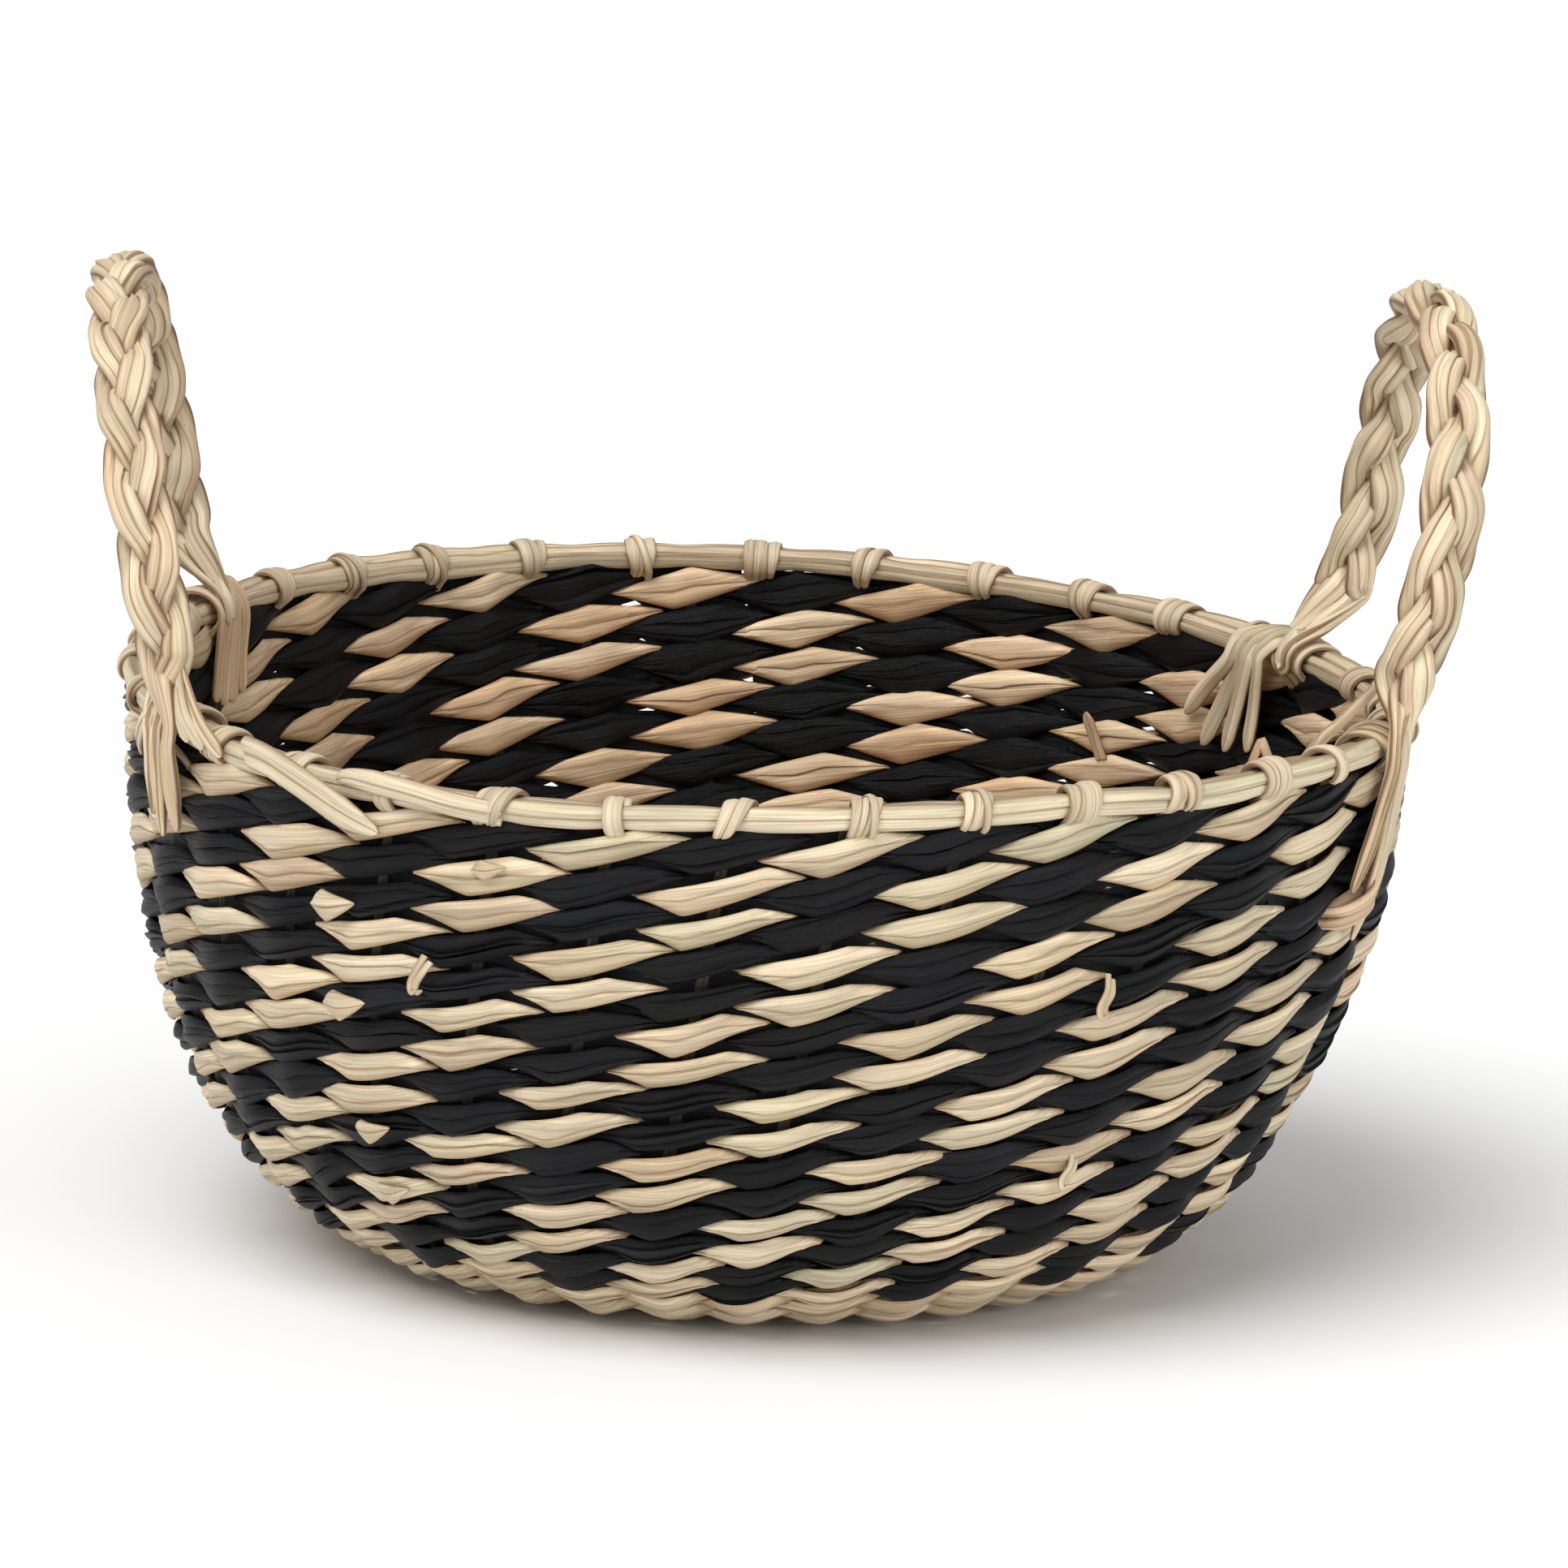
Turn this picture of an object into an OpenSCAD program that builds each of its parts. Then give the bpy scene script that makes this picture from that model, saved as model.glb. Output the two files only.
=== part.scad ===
// Woven market basket: twined rush bowl with a wrapped rim and two plaited handles.
// Millimetres, +Z up, origin at the middle of the resting face, +X through the handles.

/* [Bowl] */
// radius of the flat bottom
base_r = 99; // [85:1:115]
// radius of the tight curve at the bottom edge
turn_r = 27.8; // [24:0.2:32]
// radius of the belly
belly_r = 85.5; // [75:0.5:95]
// radius of the upper wall
wall_r = 208.7; // [190:1:230]
// wall length measured along its outside, from the flat bottom to the rim's middle
wall_run = 183.7; // [175:0.1:195]
// thickness of the woven wall
wall_t = 10; // [9.8:0.1:11]

/* [Weave] */
// number of upright stakes
stakes_n = 34; // [34]
// distance between two courses
pitch = 10.3; // [10.2:0.1:10.6]
// distance from the rim's middle to the top course
top_gap = 8.4; // [8.4:0.1:9]
// thickness of one strand
strand_t = 4; // [3:0.1:4]
// width of a stake
stake_w = 5; // [3:0.1:6]
// thickness of a stake
stake_t = 1.5; // [1:0.1:1.6]
// angle of the first stake
stake_a0 = -92.6; // [-96:0.1:-85]

/* [Rim] */
// height of one rim strand
rim_h = 6.6; // [6:0.1:6.8]
// width of one rim strand
rim_w = 4.4; // [3.6:0.1:4.6]
// width of a wrapped knot
knot_w = 5.5; // [4:0.1:7]

/* [Handles] */
// direction of the right handle round the bowl
right_a = 4; // [0:0.5:7]
// half the distance between the right handle's feet
right_foot_y = 66; // [63:0.5:68]
// distance of the right handle's hinge line from the basket's middle
right_foot_x = 161; // [159:0.5:163]
// how far the right handle's legs bow outwards
right_bow = 6; // [-3:0.5:6]
// direction of the left handle round the bowl
left_a = 182.5; // [179:0.5:184]
// half the distance between the left handle's feet
left_foot_y = 71.5; // [69:0.5:74]
// distance of the left handle's hinge line from the basket's middle
left_foot_x = 158.5; // [157:0.5:160]
// how far the left handle's legs bow outwards
left_bow = -1.5; // [-4:0.5:4]
// height of the hinge line
hinge_z = 164; // [164:0.5:166]
// height of the right handle's legs, from foot to shoulder
right_leg_h = 44.4; // [42:0.1:47]
// height of the left handle's legs, from foot to shoulder
left_leg_h = 33.7; // [31:0.1:36]
// turn of a leg from its foot to the shoulder
leg_turn = 16; // [14:1:18]
// outward lean of the right handle
right_lean = 8.6; // [7:0.1:11]
// outward lean of the left handle
left_lean = 11.5; // [9:0.1:13]
// radius of one plaited strand
braid_r = 3.35; // [2.8:0.05:3.4]
// half the distance that a strand swings across the plait
braid_a = 6.6; // [6.4:0.1:7.2]
// half the distance that a strand swings through the plait
braid_b = 4.3; // [4.2:0.1:4.8]
// number of full crossings along a handle
braid_n = 3.75; // [3.75:0.25:4.5]

/* [Hidden] */
$fn = 48;
deg = 180 / PI;
step_a = 360 / stakes_n;

// The outside of the bowl is three arcs that meet smoothly, then a short straight.
turn_a = 28.7;
belly_a = 60.3;
wall_a = 88.2;
turn_s = turn_r * turn_a / deg;
belly_s = turn_s + belly_r * (belly_a - turn_a) / deg;
upper_s = belly_s + wall_r * (wall_a - belly_a) / deg;

// slope of the wall at a distance s along it
function slope(s) =
    s <= 0 ? 0 :
    s < turn_s ? s / turn_r * deg :
    s < belly_s ? turn_a + (s - turn_s) / belly_r * deg :
    s < upper_s ? belly_a + (s - belly_s) / wall_r * deg : wall_a;

// curve radius of the wall at s
function bend_r(s) = s < 0 ? 900 : s < turn_s ? turn_r : s < belly_s ? belly_r : s < upper_s ? wall_r : 900;

turn_p = [base_r + turn_r * sin(turn_a), turn_r * (1 - cos(turn_a))];
belly_p = turn_p + belly_r * [sin(belly_a) - sin(turn_a), cos(turn_a) - cos(belly_a)];
upper_p = belly_p + wall_r * [sin(wall_a) - sin(belly_a), cos(belly_a) - cos(wall_a)];

// point on the outside of the wall, as radius and height
function skin(s) =
    s <= 0 ? [base_r + s, 0] :
    s < turn_s ? [base_r + turn_r * sin(slope(s)), turn_r * (1 - cos(slope(s)))] :
    s < belly_s ? turn_p + belly_r * [sin(slope(s)) - sin(turn_a), cos(turn_a) - cos(slope(s))] :
    s < upper_s ? belly_p + wall_r * [sin(slope(s)) - sin(belly_a), cos(belly_a) - cos(slope(s))] :
    upper_p + (s - upper_s) * [cos(wall_a), sin(wall_a)];

// point at depth d under the outside
function under(s, d) = skin(s) + d * [-sin(slope(s)), cos(slope(s))];

// stands a flat piece on the wall: x along the course, y up the wall, z outwards
module on_wall(a, s, d) {
    p = under(s, d);
    rotate([0, 0, a])
        translate([p[0], 0, p[1]])
            rotate([0, 90 - slope(s), 0])
                rotate([90, 0, 90])
                    children();
}

// The courses are numbered from the rim down.
function course_s(k) = wall_run - top_gap - (k - 1) * pitch;

// the dyed strand changes stakes after every second course
function dyed_outside(k, i) = (i + floor(k / 2)) % 2 == 0;

// distance between stakes, measured around the bowl at depth d
function around(s, d) = 2 * PI * under(s, d)[0] / stakes_n;

// one float: a leaf-shaped plate with slanted ends, wide at the middle
module leaf(run, half, thick, way) {
    linear_extrude(thick)
        polygon([
            [-0.70 * run * way, -half],
            [0.23 * run * way, -half],
            [0.70 * run * way, half],
            [-0.23 * run * way, half]
        ]);
}

// how far a course may reach up and down the wall at depth d without meeting its neighbour
function half_w(s, d) = (pitch / 2 - 0.25) * min(1, (bend_r(s) - d) / bend_r(s));

// the floats of one strand that lie outside the stakes
module outside_floats(k, dyed) {
    s = course_s(k);
    for (i = [0:stakes_n - 1])
        if (dyed_outside(k, i) == dyed)
            on_wall(stake_a0 + i * step_a, s, strand_t)
                leaf(around(s, strand_t), half_w(s, strand_t), strand_t, 1);
}

// the floats of the same strand that lie inside the stakes
module inside_floats(k, dyed) {
    s = course_s(k);
    for (i = [0:stakes_n - 1])
        if (dyed_outside(k, i) != dyed)
            on_wall(stake_a0 + i * step_a, s, wall_t)
                leaf(around(s, wall_t), half_w(s, wall_t), strand_t - 0.3, -1);
}

module course(k, dyed) {
    outside_floats(k, dyed);
    inside_floats(k, dyed);
}

// a flat round of the bottom, cut into lengths: the strand under the stakes and the strand over them
round_cuts = 17;

module round_strand(outline) {
    for (i = [0:round_cuts - 1])
        rotate([0, 0, stake_a0 + i * 360 / round_cuts])
            rotate_extrude(angle = 0.97 * 360 / round_cuts)
                polygon(outline);
}

module bottom_round(k) {
    s = course_s(k);
    a = s - pitch / 2 + 0.2;
    b = min(s + pitch / 2 - 0.2, 4.6);
    top_d = wall_t - 0.2;
    mid_d = wall_t - strand_t + 0.3;
    round_strand([under(a + 1.4, 0), under(b - 1.2, 0), under(b, 1.6), under(b, strand_t), under(a, strand_t), under(a, 1.6)]);
    round_strand([
        under(a, mid_d), under(b, mid_d), under(b, top_d - 1.4), under(b - 1.2, top_d),
        under(a + 1.4, top_d), under(a, top_d - 1.4)
    ]);
}

// a stake runs from the cross in the bottom up to the rim
cross_r = 31;
stake_s = [
    cross_r + 2 - base_r, 0, 3.5, 7, 10.5, turn_s, 22, 32, 42, 52, belly_s, 82, 102, 122, 142, upper_s, wall_run - 4
];

module stake_strip() {
    n = len(stake_s);
    out_d = strand_t + (wall_t - 2 * strand_t + 0.3 - stake_t) / 2;
    rotate([90, 0, 0])
        translate([0, 0, -stake_w / 2])
            linear_extrude(stake_w)
                polygon([
                    for (i = [0:n - 1]) under(stake_s[i], out_d),
                    for (i = [n - 1:-1:0]) under(stake_s[i], out_d + stake_t)
                ]);
}

// one set of parallel stake middles, where two sets cross in the bottom
module cross_set(count, low) {
    gap = 2 * cross_r / (count + 0.2);
    for (i = [0:count - 1]) {
        y = (i - (count - 1) / 2) * gap;
        half = sqrt(max(cross_r * cross_r - pow(abs(y) + 0.42 * gap, 2), 9));
        translate([-half, y - 0.42 * gap, low])
            cube([2 * half, 0.84 * gap, 3.1]);
    }
}

// The rim lies on top of the wall.
rim_c = under(wall_run, wall_t / 2);

module rim_strand(shift) {
    h = rim_h / 2;
    w = rim_w / 2;
    for (i = [0:stakes_n - 1])
        rotate([0, 0, stake_a0 + (i + 0.02) * step_a])
            rotate_extrude(angle = 0.96 * step_a)
                translate([rim_c[0] + shift, rim_c[1]])
                    polygon([
                        [-w, -0.45 * h], [-0.5 * w, -h], [0.5 * w, -h], [w, -0.45 * h],
                        [w, 0.45 * h], [0.5 * w, h], [-0.5 * w, h], [-w, 0.45 * h]
                    ]);
}

// a band wrapped round the rim, open below, where its ends go into the wall
module band(a, width, r_in, r_out) {
    rotate([0, 0, a])
        translate([rim_c[0], 0, rim_c[1]])
            rotate([90, 0, 0])
                rotate([0, 0, -32])
                    translate([0, 0, -width / 2])
                        rotate_extrude(angle = 244)
                            translate([r_in, 0])
                                square([r_out - r_in, width]);
}

knot_skip = [7, 11, 23, 28];

// The handle's middle line: a bowed leg, a round shoulder and the other leg, in a leaning plane.
leg_half = leg_turn / 2;
arch_turn = 180 - leg_turn;

// one handle's own sizes: distance from the middle, half the distance between the feet, bow, leg height, lean
right = [right_foot_x, right_foot_y, right_bow, right_leg_h, right_lean];
left = [left_foot_x, left_foot_y, left_bow, left_leg_h, left_lean];

function leg_r(h) = h[3] / (2 * sin(leg_half));
function leg_l(h) = leg_r(h) * leg_turn / deg;
function arch_r(h) = h[1] / cos(leg_half);
function arch_l(h) = arch_r(h) * arch_turn / deg;
function handle_l(h) = 2 * leg_l(h) + arch_l(h);
function top_h(h) = h[3] + arch_r(h) * (1 - sin(leg_half));

// middle line as [y, height, heading], with heading 90 pointing up
function leg_at(h, t) =
    let (q = 90 + leg_half - t / leg_r(h) * deg)
    [-h[1] + leg_r(h) * (cos(leg_half) - cos(q - 90)), leg_r(h) * (sin(leg_half) + sin(90 - q)), q];

function arch_at(h, t) =
    let (q = 90 - leg_half - t / arch_r(h) * deg)
    [-arch_r(h) * sin(q), h[3] + arch_r(h) * (cos(q) - sin(leg_half)), q];

function line_at(h, t) =
    t < leg_l(h) ? leg_at(h, t) :
    t < leg_l(h) + arch_l(h) ? arch_at(h, t - leg_l(h)) :
    let (p = leg_at(h, handle_l(h) - t)) [-p[0], p[1], -p[2]];

// the plait is narrow where it bends at its feet
function swell(h, t) = min(1, 0.42 + 0.58 * min(t, handle_l(h) - t) / 16);

// the directions across and up the leaning plane
function plane_x(h) = [cos(h[4]), 0, -sin(h[4])];
function plane_z(h) = [sin(h[4]), 0, cos(h[4])];

// centre of one strand of the plait
function braid_at(h, t, part) =
    let (p = line_at(h, t), f = swell(h, t), q = 360 * braid_n * t / handle_l(h) + 120 * part)
    let (side = f * braid_a * cos(q), deep = f * braid_b * sin(2 * q), up = p[1] / top_h(h))
    [h[0], 0, hinge_z + 1]
    + plane_x(h) * (side + h[2] * 4 * up * (1 - up))
    + [0, 1, 0] * (p[0] - deep * sin(p[2]))
    + plane_z(h) * (p[1] + deep * cos(p[2]));

braid_rings = 56;
braid_sides = 8;

function unit(v) = v / norm(v);

// a ring of points round the strand
function braid_ring(h, i, part) =
    let (t = 0.4 + (handle_l(h) - 0.8) * i / (braid_rings - 1))
    let (c = braid_at(h, t, part))
    let (d = unit(braid_at(h, t + 0.3, part) - braid_at(h, t - 0.3, part)))
    let (u = unit(cross(d, plane_x(h))), v = cross(d, u))
    let (r = braid_r * swell(h, t))
    [for (j = [0:braid_sides - 1]) c + r * (u * cos(360 * j / braid_sides) + v * sin(360 * j / braid_sides))];

module braid_strand(h, part) {
    n = braid_sides;
    m = braid_rings;
    points = [for (i = [0:m - 1]) each braid_ring(h, i, part)];
    faces = [
        [for (j = [n - 1:-1:0]) j],
        [for (j = [0:n - 1]) (m - 1) * n + j],
        for (i = [0:m - 2])
            for (j = [0:n - 1])
                [i * n + j, i * n + (j + 1) % n, (i + 1) * n + (j + 1) % n],
        for (i = [0:m - 2])
            for (j = [0:n - 1])
                [i * n + j, (i + 1) * n + (j + 1) % n, (i + 1) * n + j]
    ];
    polyhedron(points, faces);
}

// angle of a handle's foot round the bowl
right_foot_a = atan(right_foot_y / right_foot_x);
left_foot_a = atan(left_foot_y / left_foot_x);

// the wraps that hold both feet to the rim
module foot_wraps(a, foot_a) {
    band(a - foot_a, 13, 4.95, 7.3);
    band(a + foot_a, 13, 4.95, 7.3);
}

// strand ends laid down the outside of the wall, turned a little from upright
module outside_tail(a, run, slant) {
    for (i = [-1:1])
        on_wall(a + i * 1.75, wall_run - 3.6 - run / 2, -2.1)
            rotate([0, 0, -slant])
                linear_extrude(2.8)
                    polygon([
                        [-2.3, run / 2 - abs(i) * 2], [2.3, run / 2 - abs(i) * 2],
                        [2.1 - i * 0.8, -run / 2 + 6 + abs(i) * 5], [-0.5 * i, -run / 2 + abs(i) * 5],
                        [-2.1 - i * 0.8, -run / 2 + 6 + abs(i) * 5]
                    ]);
}

// strand ends fanned out on the inside of the wall, as [angle at the rim, angle at the end, run down the wall],
// with both angles counted from the handle's foot
right_inside_ends = [[1, 4.4, 30], [2.3, 8, 32], [3.6, 11.5, 32], [4.9, 14.5, 24]];
left_inside_ends = [[1.4, 2, 22], [0, 0.2, 24], [-1.6, -1.8, 23], [-3.2, -4, 20]];

module inside_tail(foot, ends) {
    for (i = [0:len(ends) - 1]) {
        run = ends[i][2];
        s = wall_run - 5.5 - run / 2;
        d = wall_t + (i % 2 == 0 ? 2.8 : 4.6);
        side = (ends[i][1] - ends[i][0]) / deg * under(s, d)[0];
        half = norm([side, run]) / 2;
        on_wall(foot + (ends[i][0] + ends[i][1]) / 2, s, d)
            rotate([0, 0, atan2(side, run)])
                linear_extrude(1.6)
                    polygon([[-1.8, half], [1.8, half], [2.3, -half + 5], [0.4, -half], [-2.2, -half + 4]]);
    }
}

// small ends of leaves that stick out where a new leaf was joined in
leaf_end_spots = [
    [-130, 151, 8], [-129.5, 123, 8], [-128.5, 85, 7], [-128.5, 64, 7],
    [-114, 168, 5], [-121, 137, 6], [-57, 133.5, 6], [-56, 81, 6]
];

module leaf_end(spot) {
    on_wall(spot[0], spot[1], -2)
        linear_extrude(1.6)
            polygon([[-spot[2] * 0.5, -1], [-1, -spot[2] * 0.5], [spot[2] * 0.5, -0.5], [spot[2] * 0.3, spot[2] * 0.4]]);
}

module course_01_dyed_strand() {
    color([0.11, 0.115, 0.125])
        course(1, true);
}

module course_01_plain_strand() {
    color([0.86, 0.76, 0.57])
        course(1, false);
}

module course_02_dyed_strand() {
    color([0.11, 0.115, 0.125])
        course(2, true);
}

module course_02_plain_strand() {
    color([0.86, 0.76, 0.57])
        course(2, false);
}

module course_03_dyed_strand() {
    color([0.11, 0.115, 0.125])
        course(3, true);
}

module course_03_plain_strand() {
    color([0.86, 0.76, 0.57])
        course(3, false);
}

module course_04_dyed_strand() {
    color([0.11, 0.115, 0.125])
        course(4, true);
}

module course_04_plain_strand() {
    color([0.86, 0.76, 0.57])
        course(4, false);
}

module course_05_dyed_strand() {
    color([0.11, 0.115, 0.125])
        course(5, true);
}

module course_05_plain_strand() {
    color([0.86, 0.76, 0.57])
        course(5, false);
}

module course_06_dyed_strand() {
    color([0.11, 0.115, 0.125])
        course(6, true);
}

module course_06_plain_strand() {
    color([0.86, 0.76, 0.57])
        course(6, false);
}

module course_07_dyed_strand() {
    color([0.11, 0.115, 0.125])
        course(7, true);
}

module course_07_plain_strand() {
    color([0.86, 0.76, 0.57])
        course(7, false);
}

module course_08_dyed_strand() {
    color([0.11, 0.115, 0.125])
        course(8, true);
}

module course_08_plain_strand() {
    color([0.86, 0.76, 0.57])
        course(8, false);
}

module course_09_dyed_strand() {
    color([0.11, 0.115, 0.125])
        course(9, true);
}

module course_09_plain_strand() {
    color([0.86, 0.76, 0.57])
        course(9, false);
}

module course_10_dyed_strand() {
    color([0.11, 0.115, 0.125])
        course(10, true);
}

module course_10_plain_strand() {
    color([0.86, 0.76, 0.57])
        course(10, false);
}

module course_11_dyed_strand() {
    color([0.11, 0.115, 0.125])
        course(11, true);
}

module course_11_plain_strand() {
    color([0.86, 0.76, 0.57])
        course(11, false);
}

module course_12_dyed_strand() {
    color([0.11, 0.115, 0.125])
        course(12, true);
}

module course_12_plain_strand() {
    color([0.86, 0.76, 0.57])
        course(12, false);
}

module course_13_dyed_strand() {
    color([0.11, 0.115, 0.125])
        course(13, true);
}

module course_13_plain_strand() {
    color([0.86, 0.76, 0.57])
        course(13, false);
}

module course_14_dyed_strand() {
    color([0.11, 0.115, 0.125])
        course(14, true);
}

module course_14_plain_strand() {
    color([0.86, 0.76, 0.57])
        course(14, false);
}

module course_15_dyed_strand() {
    color([0.11, 0.115, 0.125])
        course(15, true);
}

module course_15_plain_strand() {
    color([0.86, 0.76, 0.57])
        course(15, false);
}

module course_16_plain_pair() {
    color([0.86, 0.76, 0.57]) {
        course(16, true);
        course(16, false);
    }
}

module course_17_plain_pair() {
    color([0.86, 0.76, 0.57]) {
        course(17, true);
        course(17, false);
    }
}

module bottom_round_7() {
    color([0.82, 0.7, 0.5])
        bottom_round(18);
}

module bottom_round_6() {
    color([0.82, 0.7, 0.5])
        bottom_round(19);
}

module bottom_round_5() {
    color([0.82, 0.7, 0.5])
        bottom_round(20);
}

module bottom_round_4() {
    color([0.82, 0.7, 0.5])
        bottom_round(21);
}

module bottom_round_3() {
    color([0.82, 0.7, 0.5])
        bottom_round(22);
}

module bottom_round_2() {
    color([0.82, 0.7, 0.5])
        bottom_round(23);
}

module bottom_round_1() {
    color([0.82, 0.7, 0.5])
        bottom_round(24);
}

module bottom_cross_lower() {
    color([0.82, 0.7, 0.5])
        cross_set(9, 0);
}

module bottom_cross_upper() {
    color([0.86, 0.76, 0.57])
        rotate([0, 0, 90])
            cross_set(8, 3.3);
}

module stakes() {
    color([0.88, 0.80, 0.62])
        for (i = [0:stakes_n - 1])
            rotate([0, 0, stake_a0 + i * step_a])
                stake_strip();
}

module rim_outer_strand() {
    color([0.86, 0.76, 0.57])
        rim_strand(rim_w / 2 + 0.15);
}

module rim_inner_strand() {
    color([0.86, 0.76, 0.57])
        rim_strand(-rim_w / 2 - 0.15);
}

module rim_knots() {
    color([0.80, 0.66, 0.44])
        for (i = [0:stakes_n - 1])
            if (len(search(i, knot_skip)) == 0)
                band(stake_a0 + i * step_a, knot_w, 4.95, 6.2);
}

module rim_splice_end() {
    color([0.86, 0.78, 0.58])
        on_wall(-131, wall_run - 8.5, -2.3)
            rotate([0, 0, -15])
                linear_extrude(3)
                    polygon([[-17, -1.5], [13, -2.6], [17, 0], [13, 2.6], [-17, 2.6]]);
}

module leaf_ends() {
    color([0.88, 0.80, 0.62])
        for (spot = leaf_end_spots)
            leaf_end(spot);
}

module handle_right_strand_a() {
    color([0.86, 0.74, 0.53])
        rotate([0, 0, right_a])
            braid_strand(right, 0);
}

module handle_right_strand_b() {
    color([0.83, 0.69, 0.47])
        rotate([0, 0, right_a])
            braid_strand(right, 1);
}

module handle_right_strand_c() {
    color([0.88, 0.78, 0.58])
        rotate([0, 0, right_a])
            braid_strand(right, 2);
}

module handle_right_foot_wraps() {
    color([0.8, 0.66, 0.44])
        foot_wraps(right_a, right_foot_a);
}

module handle_left_strand_a() {
    color([0.86, 0.74, 0.53])
        rotate([0, 0, left_a])
            braid_strand(left, 0);
}

module handle_left_strand_b() {
    color([0.83, 0.69, 0.47])
        rotate([0, 0, left_a])
            braid_strand(left, 1);
}

module handle_left_strand_c() {
    color([0.88, 0.78, 0.58])
        rotate([0, 0, left_a])
            braid_strand(left, 2);
}

module handle_left_foot_wraps() {
    color([0.8, 0.66, 0.44])
        foot_wraps(left_a, left_foot_a);
}

module handle_right_outside_tail() {
    color([0.86, 0.76, 0.57])
        outside_tail(right_a - right_foot_a - 3, 44, 10);
}

module handle_right_inside_tail() {
    color([0.86, 0.76, 0.57])
        inside_tail(right_a + right_foot_a, right_inside_ends);
}

module handle_left_outside_tail() {
    color([0.86, 0.76, 0.57])
        outside_tail(left_a + left_foot_a, 24, 0);
}

module handle_left_inside_tail() {
    color([0.86, 0.76, 0.57])
        inside_tail(left_a - left_foot_a, left_inside_ends);
}

course_01_dyed_strand();
course_01_plain_strand();
course_02_dyed_strand();
course_02_plain_strand();
course_03_dyed_strand();
course_03_plain_strand();
course_04_dyed_strand();
course_04_plain_strand();
course_05_dyed_strand();
course_05_plain_strand();
course_06_dyed_strand();
course_06_plain_strand();
course_07_dyed_strand();
course_07_plain_strand();
course_08_dyed_strand();
course_08_plain_strand();
course_09_dyed_strand();
course_09_plain_strand();
course_10_dyed_strand();
course_10_plain_strand();
course_11_dyed_strand();
course_11_plain_strand();
course_12_dyed_strand();
course_12_plain_strand();
course_13_dyed_strand();
course_13_plain_strand();
course_14_dyed_strand();
course_14_plain_strand();
course_15_dyed_strand();
course_15_plain_strand();
course_16_plain_pair();
course_17_plain_pair();
bottom_round_7();
bottom_round_6();
bottom_round_5();
bottom_round_4();
bottom_round_3();
bottom_round_2();
bottom_round_1();
bottom_cross_lower();
bottom_cross_upper();
stakes();
rim_outer_strand();
rim_inner_strand();
rim_knots();
rim_splice_end();
leaf_ends();
handle_right_strand_a();
handle_right_strand_b();
handle_right_strand_c();
handle_right_foot_wraps();
handle_left_strand_a();
handle_left_strand_b();
handle_left_strand_c();
handle_left_foot_wraps();
handle_right_outside_tail();
handle_right_inside_tail();
handle_left_outside_tail();
handle_left_inside_tail();
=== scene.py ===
"""The woven market basket's looks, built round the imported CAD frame. Its own lengths are in millimetres."""
import math

import bpy
import numpy as np
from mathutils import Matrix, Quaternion, Vector


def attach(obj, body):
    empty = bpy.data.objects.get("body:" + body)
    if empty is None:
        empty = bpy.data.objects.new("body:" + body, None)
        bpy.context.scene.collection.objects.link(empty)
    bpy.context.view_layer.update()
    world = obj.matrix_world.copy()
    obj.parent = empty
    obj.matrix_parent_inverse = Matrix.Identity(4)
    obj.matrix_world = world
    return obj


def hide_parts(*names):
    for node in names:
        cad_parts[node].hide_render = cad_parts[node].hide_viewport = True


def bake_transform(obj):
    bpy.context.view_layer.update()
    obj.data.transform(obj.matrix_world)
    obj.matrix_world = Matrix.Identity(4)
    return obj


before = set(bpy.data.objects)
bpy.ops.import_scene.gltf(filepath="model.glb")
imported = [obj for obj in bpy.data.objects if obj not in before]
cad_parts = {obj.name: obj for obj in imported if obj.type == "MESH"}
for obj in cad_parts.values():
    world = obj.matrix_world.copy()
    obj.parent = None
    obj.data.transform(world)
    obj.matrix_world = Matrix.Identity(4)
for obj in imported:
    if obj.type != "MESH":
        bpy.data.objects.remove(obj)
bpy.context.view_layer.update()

# ------------------------------------------------ the bowl's form, as in the CAD
# The wall's outside leaves the flat bottom in three smooth arcs, and ends in a straight line. _R are radii,
# _A the slopes where the arcs end, _S the lengths along the outside to there, _P radius and height there.
BASE_R, TURN_R, BELLY_R, WALL_R = 99.0, 27.8, 85.5, 208.7
TURN_A, BELLY_A, WALL_A = np.radians([28.7, 60.3, 88.2])
RUN = 183.7  # from the bottom's edge up to the rim's middle
TOP_GAP, PITCH = 8.4, 10.3  # from the rim to the first course, and from course to course
COURSES = 15  # courses of two colours; two plain pairs and the bottom's rounds follow
MID = 5.0  # the wall's middle lies this far inside its outside
STAKES, STAKE_A0 = 34, -92.6
STEP = 360.0 / STAKES
DRIFT = 0.045  # degrees that the pattern shifts for each millimetre on its way down
BACK_LAG = 2.5  # half the most degrees by which a knot at the back stands past its stake
TURN_S = TURN_R * TURN_A
BELLY_S = TURN_S + BELLY_R * (BELLY_A - TURN_A)
WALL_S = BELLY_S + WALL_R * (WALL_A - BELLY_A)
TURN_P = np.array([BASE_R + TURN_R * math.sin(TURN_A), TURN_R * (1 - math.cos(TURN_A))])
BELLY_P = TURN_P + BELLY_R * np.array(
    [math.sin(BELLY_A) - math.sin(TURN_A), math.cos(TURN_A) - math.cos(BELLY_A)]
)
WALL_P = BELLY_P + WALL_R * np.array(
    [math.sin(WALL_A) - math.sin(BELLY_A), math.cos(BELLY_A) - math.cos(WALL_A)]
)


def slope(s):
    """The wall's slope at a distance s along its outside."""
    a = np.where(s < TURN_S, np.clip(s, 0, None) / TURN_R, TURN_A + (s - TURN_S) / BELLY_R)
    a = np.where(s < BELLY_S, a, BELLY_A + (s - BELLY_S) / WALL_R)
    return np.minimum(a, WALL_A)


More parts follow.
